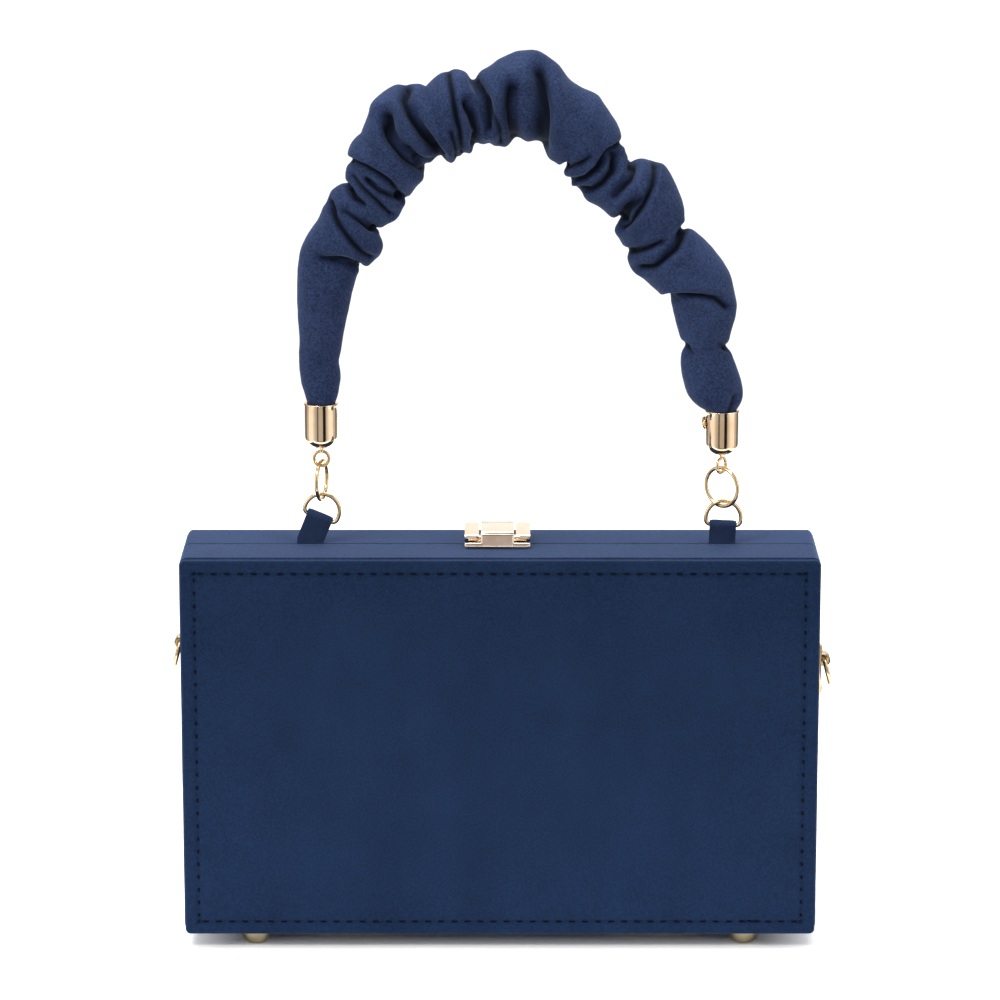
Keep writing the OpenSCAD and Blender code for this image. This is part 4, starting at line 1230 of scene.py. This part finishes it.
@dataclass
class Sleeve:
    """The ruched suede sleeve over the cord, with rolls, pinches and creases placed one by one."""

    finishes: Finishes
    plane_y: float = 1.1
    around: int = 120
    spacing: float = 0.6
    thickness: float = 0.5
    ribs: tuple = (
        Rib(S, (-52.2, 168.8), (-59.8, 168.8), 1.0), Rib(S, (-51.9, 171.2), (-60.0, 171.2), 1.0),
        Rib(S, (-50.7, 173.6), (-60.8, 173.4), 1.0), Rib(S, (-50.4, 177.6), (-61.7, 178.6), 0.95),
        Rib(S, (-50.0, 181.2), (-62.3, 183.4), 0.9), Rib(S, (-50.7, 185.2), (-62.5, 188.0), 0.9),
        Rib(S, (-49.4, 190.7), (-62.2, 191.4)), Rib(S, (-48.2, 198.0), (-62.6, 197.5)),
        Rib(S, (-46.0, 207.0), (-62.9, 206.0)), Rib(C, (-44.6, 213.0), (-62.6, 214.5), 0.85),
        Rib(V, (-43.6, 216.4), (-61.4, 221.5), 0.8), Rib(C, (-40.4, 216.9), (-58.8, 227.0)),
        Rib(C, (-36.6, 219.6), (-56.2, 229.6)), Rib(C, (-36.2, 222.0), (-55.0, 232.8)),
        Rib(V, (-36.9, 223.8), (-53.4, 235.5), 0.78), Rib(C, (-38.0, 225.6), (-53.0, 238.2)),
        Rib(V, (-39.0, 227.8), (-49.2, 240.9), 0.85), Rib(C, (-35.7, 228.4), (-46.9, 241.1)),
        Rib(V, (-33.2, 229.6), (-46.4, 242.2), 0.85), Rib(C, (-30.6, 232.4), (-47.9, 245.4)),
        Rib(V, (-30.0, 237.2), (-45.5, 248.5), 0.82), Rib(C, (-26.4, 239.6), (-47.0, 251.0)),
        Rib(C, (-25.2, 241.4), (-46.0, 254.4)), Rib(V, (-23.8, 243.2), (-42.3, 256.2), 0.97),
        Rib(C, (-23.0, 245.2), (-41.0, 260.6), 1.05),
        Rib(V, (-23.0, 247.0), (-40.0, 266.0), 0.7), Rib(C, (-20.4, 249.4), (-34.5, 270.6), 0.9),
        Rib(V, (-18.0, 249.8), (-28.7, 272.0), 0.72), Rib(C, (-16.9, 248.2), (-25.9, 272.4)),
        Rib(V, (-13.8, 249.2), (-22.7, 270.4), 0.92), Rib(C, (-12.6, 250.0), (-18.2, 275.2)),
        Rib(V, (-11.4, 250.9), (-16.0, 276.3), 0.84), Rib(C, (-9.6, 251.2), (-13.2, 277.0)),
        Rib(V, (-7.6, 253.6), (-10.4, 275.6), 0.85), Rib(C, (-5.8, 254.2), (-8.8, 273.4)),
        Rib(V, (-3.0, 254.6), (-7.6, 274.0), 0.84), Rib(C, (-1.0, 253.8), (-5.0, 276.8), 0.95),
        Rib(V, (0.8, 253.6), (-1.6, 279.0), 0.92), Rib(C, (3.4, 253.7), (0.8, 280.4), 0.98),
        Rib(V, (4.8, 255.8), (4.4, 282.0), 0.78), Rib(C, (8.6, 255.2), (7.6, 282.6), 0.84),
        Rib(V, (12.7, 253.3), (12.2, 282.1), 0.76), Rib(C, (14.6, 250.6), (16.6, 279.4)),
        Rib(S, (17.6, 248.5), (21.0, 273.4)), Rib(C, (19.6, 247.6), (25.6, 270.6)),
        Rib(V, (20.7, 247.4), (30.5, 269.0), 0.98), Rib(C, (20.5, 244.6), (35.4, 261.5), 1.0),
        Rib(V, (22.0, 241.6), (36.7, 254.2), 0.85), Rib(C, (23.2, 240.4), (37.1, 252.9), 0.9),
        Rib(V, (24.8, 239.5), (37.8, 251.8), 0.82), Rib(C, (28.0, 235.6), (39.4, 248.2)),
        Rib(V, (31.0, 234.4), (40.7, 247.4), 0.92), Rib(C, (34.6, 231.0), (44.2, 248.9)),
        Rib(V, (37.6, 231.4), (47.2, 248.0), 0.86), Rib(C, (37.2, 229.6), (50.6, 247.4), 0.95),
        Rib(C, (36.2, 225.6), (56.0, 237.2)), Rib(V, (40.2, 220.7), (56.7, 231.0), 0.92),
        Rib(C, (39.9, 217.4), (56.6, 228.8), 0.95), Rib(V, (41.2, 214.2), (56.6, 227.0), 0.82),
        Rib(C, (45.4, 211.0), (60.6, 226.2)), Rib(S, (48.4, 208.4), (69.4, 216.6)),
        Rib(C, (50.6, 207.4), (72.6, 209.0)), Rib(V, (52.6, 206.8), (73.3, 204.2), 0.84),
        Rib(C, (53.9, 202.4), (73.2, 200.0), 0.85), Rib(S, (55.6, 195.8), (71.6, 195.0), 0.9),
        Rib(V, (58.4, 190.4), (69.8, 190.0), 0.95), Rib(C, (56.7, 186.4), (72.6, 185.6), 0.95),
        Rib(S, (57.0, 181.6), (75.0, 180.0)), Rib(S, (58.6, 175.4), (75.8, 174.2)),
        Rib(S, (61.6, 170.9), (74.9, 170.9), 0.95), Rib(S, (65.2, 169.3), (73.7, 169.3), 1.0),
        Rib(S, (65.6, 166.4), (73.4, 166.4), 1.0),
    )
    creases: tuple = (
        Crease(((-53.2, 236.4), (-49.6, 229.9), (-45.6, 224.8), (-42.5, 221.1), (-39.9, 219.0)), 2.0, 1.6, 1.0),
        Crease(((-55.2, 219.2), (-48.7, 218.5), (-44.0, 216.6)), 0.8, 2.2, 1.1),
        Crease(((-48.1, 234.1), (-44.5, 232.0), (-38.9, 227.9)), 1.0, 1.8, 0.9),
        Crease(((-46.4, 240.9), (-44.5, 238.0), (-41.9, 236.2)), 2.0, 1.0, 0.9),
        Crease(((-45.1, 244.6), (-42.4, 241.4), (-38.3, 237.7), (-33.7, 232.6)), 1.2, 1.9, 0.9),
        Crease(((-40.8, 244.0), (-37.2, 240.9), (-30.9, 237.4)), 1.3, 1.5, 0.9),
        Crease(((-45.7, 248.8), (-42.0, 248.0), (-38.2, 246.3), (-33.8, 243.0), (-30.0, 237.4)), 2.0, 1.8, 0.9),
        Crease(((-34.6, 263.3), (-34.2, 258.6), (-32.4, 255.4), (-28.8, 250.8), (-23.2, 246.6)), 2.6, 2.0, 1.8),
        Crease(((-27.9, 254.2), (-25.3, 250.9), (-20.9, 249.5)), 1.0, 1.2, 1.0),
        Crease(((-28.3, 271.8), (-29.2, 268.3), (-27.7, 264.8), (-25.3, 261.1), (-22.5, 256.7), (-18.2, 250.2)),
               2.4, 2.4, 1.5),
        Crease(((-15.9, 276.0), (-14.5, 269.7), (-13.5, 264.3), (-12.2, 258.9), (-11.4, 251.1)), 1.6, 1.8, 0.9),
        Crease(((-14.9, 258.9), (-13.9, 254.9), (-13.4, 250.0)), 1.2, 1.8, 0.9),
        Crease(((-10.5, 268.0), (-8.5, 264.0), (-7.2, 258.9), (-7.7, 253.6)), 2.0, 2.0, 1.1),
        Crease(((-7.8, 274.1), (-4.5, 269.1), (-3.8, 265.0), (-3.4, 259.8)), 1.8, 2.0, 1.3),
        Crease(((-3.8, 269.1), (-1.8, 264.0), (-0.2, 260.3), (0.2, 255.0)), 0.9, 1.6, 0.9),
        Crease(((3.5, 272.4), (2.9, 267.0), (3.5, 261.6), (4.8, 255.8)), 2.2, 2.0, 2.1),
        Crease(((12.2, 276.8), (13.2, 270.7), (13.5, 265.7), (12.9, 258.9), (12.6, 253.4)), 2.4, 2.2, 2.3),
        Crease(((27.6, 251.2), (25.1, 249.2), (20.6, 247.4)), 1.0, 2.2, 1.0),
        Crease(((36.6, 254.0), (32.9, 252.0), (29.8, 247.2), (25.9, 244.0), (21.6, 242.6)), 2.0, 1.6, 0.9),
        Crease(((35.1, 251.2), (34.5, 246.4), (31.4, 242.8), (27.5, 240.0), (24.7, 239.6)), 1.4, 2.2, 1.3),
        Crease(((40.6, 247.4), (39.9, 244.2), (37.3, 241.6), (35.2, 238.8)), 2.2, 1.0, 1.2),
        Crease(((42.9, 238.4), (39.7, 235.6), (37.4, 231.4)), 1.2, 2.2, 1.2),
        Crease(((47.6, 248.0), (46.8, 242.0), (44.1, 236.8), (40.9, 232.4), (37.6, 228.6)), 2.0, 2.2, 1.1),
        Crease(((50.1, 224.6), (45.8, 222.8), (40.2, 220.6)), 1.2, 2.2, 1.0),
        Crease(((56.8, 227.4), (54.1, 222.8), (50.9, 220.0), (47.5, 216.8), (43.6, 216.0)), 2.2, 1.6, 1.1),
        Crease(((52.6, 206.8), (57.1, 207.6), (62.3, 207.8), (66.7, 206.7), (70.2, 203.6)), 2.0, 1.4, 1.1),
        Crease(((57.6, 190.6), (59.9, 189.0)), 1.2, 0.6, 0.9),
        Crease(((70.4, 189.9), (68.1, 191.7)), 1.2, 0.6, 0.9),
        Crease(((73.1, 175.4), (71.2, 169.6)), 0.9, 1.3, 0.9),
    )

    def build(self) -> bpy.types.Object:
        """Lofts, creases, relaxes and closes the sleeve, and lets it stand for its CAD tube."""
        rings = self.loft()
        points = rings.reshape(-1, 3)
        rows = len(rings)
        evenings, stuffing, roundings, level, darkest = 4, 0.45, 45, 0.5, 0.47
        points = self.smooth(points, rows, evenings)
        points = points + self.normals(points, rows) * (stuffing * self.end_hold(points))[:, None]
        points = self.round_off(points, rows, roundings)
        points, painted_crease_shade = self.press(points, rows)
        points = self.round_off(self.smooth(points, rows, 1), rows, 10)
        points = self.wrinkle(points, rows)
        # Mask for painted shade in the fold hollows and along the creases, and painted highlight on the ridges.
        relief = np.maximum(self.relief(points, rows), (level + darkest * painted_crease_shade).astype(np.float32))
        obj = new_object("ruched_sleeve", points, grid_faces(rows, self.around), 180)
        obj.data.attributes.new("relief", "FLOAT", "POINT").data.foreach_set("value", relief)
        skin = obj.modifiers.new("fabric", "SOLIDIFY")
        skin.thickness = self.thickness * MM
        skin.offset = -1
        apply_modifiers(obj)
        obj.data.shade_smooth()
        return settle(obj, "handle", "suede_sleeve", self.finishes.sleeve, "handle_sleeve")

    def ring(self, rib: Rib) -> np.ndarray:
        """The closed section of the sleeve at a rib."""
        inner, outer = np.array(rib.inner), np.array(rib.outer)
        centre, half = (inner + outer) / 2, (outer - inner) / 2
        depth = np.linalg.norm(half) * rib.depth
        turns = 2 * math.pi * np.arange(self.around) / self.around
        flat = centre + np.outer(np.cos(turns), half)
        return np.column_stack([flat[:, 0], self.plane_y - depth * np.sin(turns), flat[:, 1]])

    def loft(self) -> np.ndarray:
        """Sections from cap to cap: rolls swell as quarter circles out of each valley."""
        knots = [self.ring(rib) for rib in self.ribs]
        out = []
        for i in range(len(knots) - 1):
            a, b = knots[i], knots[i + 1]
            fold_a, fold_b = self.ribs[i].fold, self.ribs[i + 1].fold
            middle = np.linalg.norm(a.mean(0) - b.mean(0))
            opposite = self.around // 2
            widest = max(np.linalg.norm(a[0] - b[0]), np.linalg.norm(a[opposite] - b[opposite]), middle)
            steps = max(3, math.ceil(widest / self.spacing))
            for k in range(steps):
                t = k / steps
                if fold_a is V and fold_b is not V:
                    out.append(self.swell(a, b, t))
                elif fold_b is V and fold_a is not V:
                    out.append(self.swell(b, a, 1 - t))
                else:
                    out.append(self.glide(knots, i, t))
        out.append(knots[-1])
        return np.array(out)

    def swell(self, valley: np.ndarray, crest: np.ndarray, t: float) -> np.ndarray:
        """A section between a valley and a crest, t from the valley."""
        outward = crest - crest.mean(0)
        outward /= np.linalg.norm(outward, axis=1, keepdims=True)
        step = crest - valley
        radial = (step * outward).sum(1, keepdims=True) * outward
        along = step - radial
        turn = t * math.pi / 2
        round_roll = valley + along * (1 - math.cos(turn)) + radial * math.sin(turn)
        plain = valley + step * (t * t * (3 - 2 * t))
        return 0.72 * round_roll + 0.28 * plain

    @staticmethod
    def glide(knots: list, i: int, t: float) -> np.ndarray:
        """A section on the smooth curve through neighbouring ribs."""
        a, b = knots[i], knots[i + 1]
        before = knots[max(i - 1, 0)]
        after = knots[min(i + 2, len(knots) - 1)]
        start, end = (b - before) * 0.5, (after - a) * 0.5
        gap = np.linalg.norm(b - a, axis=1, keepdims=True)
        for slope in (start, end):
            size = np.linalg.norm(slope, axis=1, keepdims=True)
            slope *= np.minimum(1, 1.2 * gap / np.maximum(size, 1e-9))
        h1, h2 = 2 * t**3 - 3 * t**2 + 1, t**3 - 2 * t**2 + t
        h3, h4 = -2 * t**3 + 3 * t**2, t**3 - t**2
        return h1 * a + h2 * start + h3 * b + h4 * end

    def smooth(self, points: np.ndarray, rows: int, times: int) -> np.ndarray:
        """Evens out the mesh a number of times, with both ends held."""
        grid = points.reshape(rows, self.around, 3).copy()
        for _ in range(times):
            beside = (np.roll(grid, 1, 1) + np.roll(grid, -1, 1)) / 2
            along = grid.copy()
            along[1:-1] = (grid[2:] + grid[:-2]) / 2
            pull = 0.5 * (beside + along) - grid
            grid[3:-3] += 0.5 * pull[3:-3]
        return grid.reshape(-1, 3)

    def round_off(self, points: np.ndarray, rows: int, times: int) -> np.ndarray:
        """Rounds the ridges and leaves the valleys between them sharp, as stuffed cloth does."""
        on_ridge, in_valley = 0.5, 0.06
        grid = points.reshape(rows, self.around, 3).copy()
        for _ in range(times):
            normal = self.normals(grid.reshape(-1, 3), rows).reshape(grid.shape)
            along = grid.copy()
            along[1:-1] = (grid[2:] + grid[:-2]) / 2
            pull = 0.25 * (np.roll(grid, 1, 1) + np.roll(grid, -1, 1)) + 0.5 * along - grid
            ridge = (pull * normal).sum(2, keepdims=True) < 0
            grid[3:-3] += (pull * np.where(ridge, on_ridge, in_valley))[3:-3]
        return grid.reshape(-1, 3)

    def normals(self, points: np.ndarray, rows: int) -> np.ndarray:
        """Outward normals of the grid."""
        grid = points.reshape(rows, self.around, 3)
        round_way = np.roll(grid, -1, 1) - np.roll(grid, 1, 1)
        along = np.gradient(grid, axis=0)
        normal = np.cross(round_way, along)
        normal /= np.maximum(np.linalg.norm(normal, axis=2, keepdims=True), 1e-9)
        outward = grid - grid.mean(1, keepdims=True)
        flip = np.sign((normal * outward).sum(2).mean()) or 1.0
        return (normal * flip).reshape(-1, 3)

    def relief(self, points: np.ndarray, rows: int) -> np.ndarray:
        """How far each point lies in a fold: 0.5 is level, 1 the deepest of the hollows and 0 a ridge; the
        sleeve's suede paints shade and highlight from it.
        """
        evenings, deepest = 24, 0.75
        level = self.smooth(points, rows, evenings)
        depth = ((level - points) * self.normals(points, rows)).sum(1)
        return (0.5 + 0.5 * np.clip(depth / deepest, -1, 1)).astype(np.float32)

    def press(self, points: np.ndarray, rows: int) -> tuple[np.ndarray, np.ndarray]:
        """Presses the crease lines in and swells the fabric beside them, in front and behind.

        Args:
            points: the grid's points.
            rows: how many rows the grid has.

        Returns:
            The new points, and how deep in a crease each lies, from 0 to 1, as a mask for painted crease shade.
        """
        normal = self.normals(points, rows)
        facing = normal[:, 1]
        shift, painted_crease_shade = np.zeros(len(points)), np.zeros(len(points))
        front = points[:, [0, 2]]
        back = front + np.column_stack([2.6 * np.sin(points[:, 2] / 8.0), 2.2 * np.cos(points[:, 0] / 7.0)])
        sides = ((front, self.ramp(-facing, -0.35, 0.25)), (back, self.ramp(facing, 0.1, 0.6) * 0.9))
        for crease in self.creases:
            for where, weight in sides:
                gap, share = self.distance(where, crease.line)
                depth = 1.35 * (crease.start + (crease.end - crease.start) * share)
                dent = depth * np.exp(-((gap / crease.width) ** 1.35))
                swell = 0.28 * depth * np.exp(-(((gap - 2.1 * crease.width) / (1.1 * crease.width)) ** 2))
                shift += weight * (swell - dent)
                # Painted shade: how dark the suede is painted along each crease, strongest on its line.
                dark = weight * np.minimum(depth / 2.2, 1) * np.exp(-((gap / (0.95 * crease.width)) ** 2))
                painted_crease_shade = np.maximum(painted_crease_shade, dark)
        held = self.end_hold(points)
        return points + normal * (np.clip(shift, -4.0, 1.1) * held)[:, None], painted_crease_shade

    def end_hold(self, points: np.ndarray) -> np.ndarray:
        """0 inside the caps and 1 clear of them."""
        left_lip, right_lip, fade = 173.0, 170.5, 4.0
        above = points[:, 2] - np.where(points[:, 0] < 0, left_lip, right_lip)
        return np.clip(above / fade, 0, 1)

    @staticmethod
    def ramp(value: np.ndarray, low: float, high: float) -> np.ndarray:
        """A smooth step from 0 at low to 1 at high."""
        t = np.clip((value - low) / (high - low), 0, 1)
        return t * t * (3 - 2 * t)

    @staticmethod
    def distance(where: np.ndarray, line: tuple) -> tuple[np.ndarray, np.ndarray]:
        """Each point's distance from a line, and the share of the line's length at the nearest place."""
        corners = np.array(line)
        lengths = np.linalg.norm(np.diff(corners, axis=0), axis=1)
        total, passed = lengths.sum(), 0.0
        best, share = np.full(len(where), 1e9), np.zeros(len(where))
        for a, b, length in zip(corners[:-1], corners[1:], lengths):
            t = np.clip(((where - a) @ (b - a)) / length**2, 0, 1)
            gap = np.linalg.norm(where - a - t[:, None] * (b - a), axis=1)
            nearer = gap < best
            best = np.where(nearer, gap, best)
            share = np.where(nearer, (passed + t * length) / total, share)
            passed += length
        return best, share

    def wrinkle(self, points: np.ndarray, rows: int) -> np.ndarray:
        """Fine slack in the fabric: low waves and short tucks that run round the sleeve."""
        normal = self.normals(points, rows)
        held = self.end_hold(points)
        lift = np.zeros(len(points))
        for i, (x, y, z) in enumerate(points):
            lift[i] = 0.28 * soft_noise(x, y, z, 8.5) + 0.10 * soft_noise(x, y * 0.35, z, 2.6)
        return points + normal * (lift * held)[:, None]


# ---------------------------------------------------------------- hardware


@dataclass
class Hardware:
    """Side clips with their strap rings, feet and bottom hinges."""

    finishes: Finishes
    bar_x: float = 101.9
    clip_y: float = 10.4
    clip_z: float = 92.3
    ring_wire: float = 0.75
    ring_w: float = 9.0
    ring_drop: float = 8.0
    tilt: float = 14.0

    def build(self) -> None:
        """Builds the rings and rounds the edges of the rest."""
        self.side_ring("left", -1, 1)
        self.side_ring("right", 1, -1)
        for half in Half:
            label, body = half.label, half.body
            settle_copy(f"{label}_feet", 0.12, body, "foot_gold", self.finishes.foot)
            for part in ("hinge_leaves", "hinge_screws"):
                settle_copy(f"{label}_{part}", 0.1, body, "gold", self.finishes.hinge)
        settle_copy("hinge_pins", 0.1, "back_case", "gold", self.finishes.hinge)
        for side, body in (("left", "back_case"), ("right", "front_case")):
            for part, bevel in (("clip", 0.2), ("clip_rivets", 0.22)):
                settle_copy(f"{side}_{part}", bevel, body, "clip_gold", self.finishes.clip)
        dress(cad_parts["handle_core"], self.finishes.cord)

    def side_ring(self, side: str, across: int, behind: int) -> bpy.types.Object:
        """A bent D-ring that hangs from its clip.

        Args:
            side: left or right.
            across: sign of its place along X.
            behind: sign of its place along Y.

        Returns:
            The ring.
        """
        half = self.ring_w / 2 + self.ring_wire
        lean = math.radians(self.tilt)
        path = [(across * (self.bar_x + drop * math.sin(lean)), behind * self.clip_y + y,
                 self.clip_z - drop * math.cos(lean))
                for y, drop in d_outline(half, 1.3, self.ring_drop - half, 12, 6, 33)]
        obj = wire(f"{side}_strap_ring", np.array(path), self.ring_wire, up=Vector((1, 0, 0)))
        return settle(obj, f"{side}_side_ring", "ring_gold", self.finishes.ring, f"{side}_side_ring")


# ---------------------------------------------------------------- studio


@dataclass
class Studio:
    """Camera, pale floor, soft boxes and the room that the metal reflects."""

    lens: float = 159.12
    camera_at: tuple = (0.0, -1.351, 0.4628)
    camera_pitch: float = 13.4

    def camera(self) -> None:
        """Places the camera."""
        data = bpy.data.cameras.new("camera")
        data.lens = self.lens
        data.sensor_width = 36.0
        data.clip_end = 20.0
        obj = place_object("camera", data)
        obj.location = self.camera_at
        obj.rotation_euler = (math.radians(90 - self.camera_pitch), 0, 0)
        bpy.context.scene.camera = obj

    def light(self, name: str, where: tuple, aim: tuple, size: tuple, power: float) -> None:
        """Adds a rectangular soft box.

        Args:
            name: the light's name.
            where: its place in metres.
            aim: the point that it looks at.
            size: width and height in metres.
            power: watts.
        """
        data = bpy.data.lights.new(name, "AREA")
        data.shape = "RECTANGLE"
        data.size, data.size_y = size
        data.energy = power
        obj = place_object(name, data)
        obj.location = where
        obj.rotation_euler = (Vector(aim) - Vector(where)).to_track_quat("-Z", "Y").to_euler()

    def room(self) -> None:
        """White surroundings with darker gaps between the soft boxes, which only metal shows."""
        world = bpy.data.worlds.new("room")
        world.use_nodes = True
        bpy.context.scene.world = world
        shade = Shading(world.node_tree)
        background = world.node_tree.nodes["Background"]
        way = shade.node("SeparateXYZ", Vector=shade.node("TexCoord").outputs["Generated"])
        signed = shade.math("ARCTAN2", way.outputs[0], shade.math("MULTIPLY", way.outputs[1], -1.0))
        angle = shade.math("ABSOLUTE", signed)
        right = shade.band(signed, (0.20, 0.28), (0.66, 0.56))
        left = shade.band(signed, (-0.54, -0.46), (-0.26, -0.33))
        flag = shade.math("MAXIMUM", right, shade.math("MULTIPLY", left, 0.75))
        side = shade.band(angle, (2.05, 2.15), (2.75, 2.6))
        dark = shade.math("MAXIMUM", flag, shade.math("MULTIPLY", side, 0.75))
        dark = shade.math("MULTIPLY", dark, shade.spread(way.outputs[2], 0.75, 0.6))
        low = shade.spread(way.outputs[2], -0.5, -0.65, 0.0, 0.95)
        tone = shade.mix(shade.math("MAXIMUM", dark, low), (1.0, 1.0, 1.0, 1), (0.03, 0.025, 0.025, 1))
        box = shade.band(angle, (0.70, 1.1), (1.75, 1.6))
        tone = shade.mix(box, tone, (2.1, 2.08, 2.05, 1))
        tone = shade.mix(shade.spread(angle, 2.8, 2.9), tone, (1.9, 1.88, 1.8, 1))
        seen = shade.node("LightPath").outputs["Is Camera Ray"]
        shade.feed(background.inputs["Color"], shade.mix(seen, tone, (2.0, 2.0, 2.0, 1)))
        background.inputs["Strength"].default_value = 0.56

    def floor(self) -> None:
        """A wide pale floor under the feet, unseen in front, where the opened half dips below it; it glows as
        painted light except under the case, where the dark is partly real shadow and partly painted shadow.
        """
        left, near, case_front, far = 330.0, -170.0, -22.5, 700.0
        dark_x, dark_y, fade_x, fade_y = 0.080, 0.010, 0.032, 0.040
        pieces = []
        for name, start, end in (("floor", case_front, far), ("floor_front", near, case_front)):
            corners = np.array([(-left, start, 0), (left, start, 0), (left, end, 0), (-left, end, 0)])
            pieces.append(new_object(name, corners, [[0, 1, 2, 3]]))
        pieces[1].visible_camera = pieces[1].visible_shadow = False
        material, shade, shader = start_material("floor paper")
        where = shade.node("TexCoord").outputs["Object"]
        grain = shade.noise(where, 220.0, 3.0)
        shade.feed(shader.inputs["Base Color"], shade.mix(grain, (0.93, 0.93, 0.93, 1), (0.96, 0.96, 0.96, 1)))
        shade.feed(shader.inputs["Roughness"], shade.spread(grain, 0.3, 0.7, 0.85, 0.95))
        shader.inputs["Specular IOR Level"].default_value = 0.1
        # Painted light: emission makes the floor glow clear of the case and fades it out in a soft-edged rectangle
        # under the case, leaving a painted shadow there.
        way = shade.node("SeparateXYZ", Vector=where)
        beside = shade.math("SUBTRACT", shade.math("ABSOLUTE", way.outputs[0]), dark_x)
        behind = shade.math("SUBTRACT", shade.math("ABSOLUTE", way.outputs[1]), dark_y)
        clear = shade.math("MAXIMUM", shade.spread(beside, 0.0, fade_x), shade.spread(behind, 0.0, fade_y))
        shade.feed(shader.inputs["Emission Color"], shade.mix(clear, (0, 0, 0, 1), (1, 1, 1, 1)))
        shader.inputs["Emission Strength"].default_value = 0.55
        for piece in pieces:
            piece.data.materials.append(material)

    def build(self) -> None:
        """Sets the view's tones, the room, the floor and the lights."""
        scene = bpy.context.scene
        scene.view_settings.view_transform = "Standard"
        self.room()
        self.floor()
        for name, where, aim_z, size, power in (("top box", (0.0, 0.25, 1.3), 0.1, (1.2, 0.8), 13.0),
                                                ("key box", (-0.55, -0.75, 1.25), 0.2, (0.45, 0.35), 8.0),
                                                ("left box", (-1.2, -0.9, 0.7), 0.12, (0.6, 1.0), 2.5),
                                                ("right box", (1.2, -0.9, 0.7), 0.12, (0.6, 1.0), 2.5)):
            self.light(name, where, (0.0, 0.0, aim_z), size, power)


def main() -> None:
    """Builds the camera, the purse and the studio, in that order."""
    logging.basicConfig(level=logging.INFO, format="%(name)s: %(message)s")
    studio = Studio()
    studio.camera()
    finishes = Finishes()
    for half in Half:
        CaseHalf(half, finishes).build()
    Clasp(finishes).build()
    Chain("left", finishes, x=-56.0, ring_offset=0.0, bar_z=8.3, lean=22, link_turn=77, eye_turn=0).build()
    Chain("right", finishes, x=69.5, ring_offset=0.8, bar_z=5.9, lean=3, link_turn=-40, eye_turn=53).build()
    Sleeve(finishes).build()
    Hardware(finishes).build()
    studio.build()


if __name__ == "__main__":
    main()
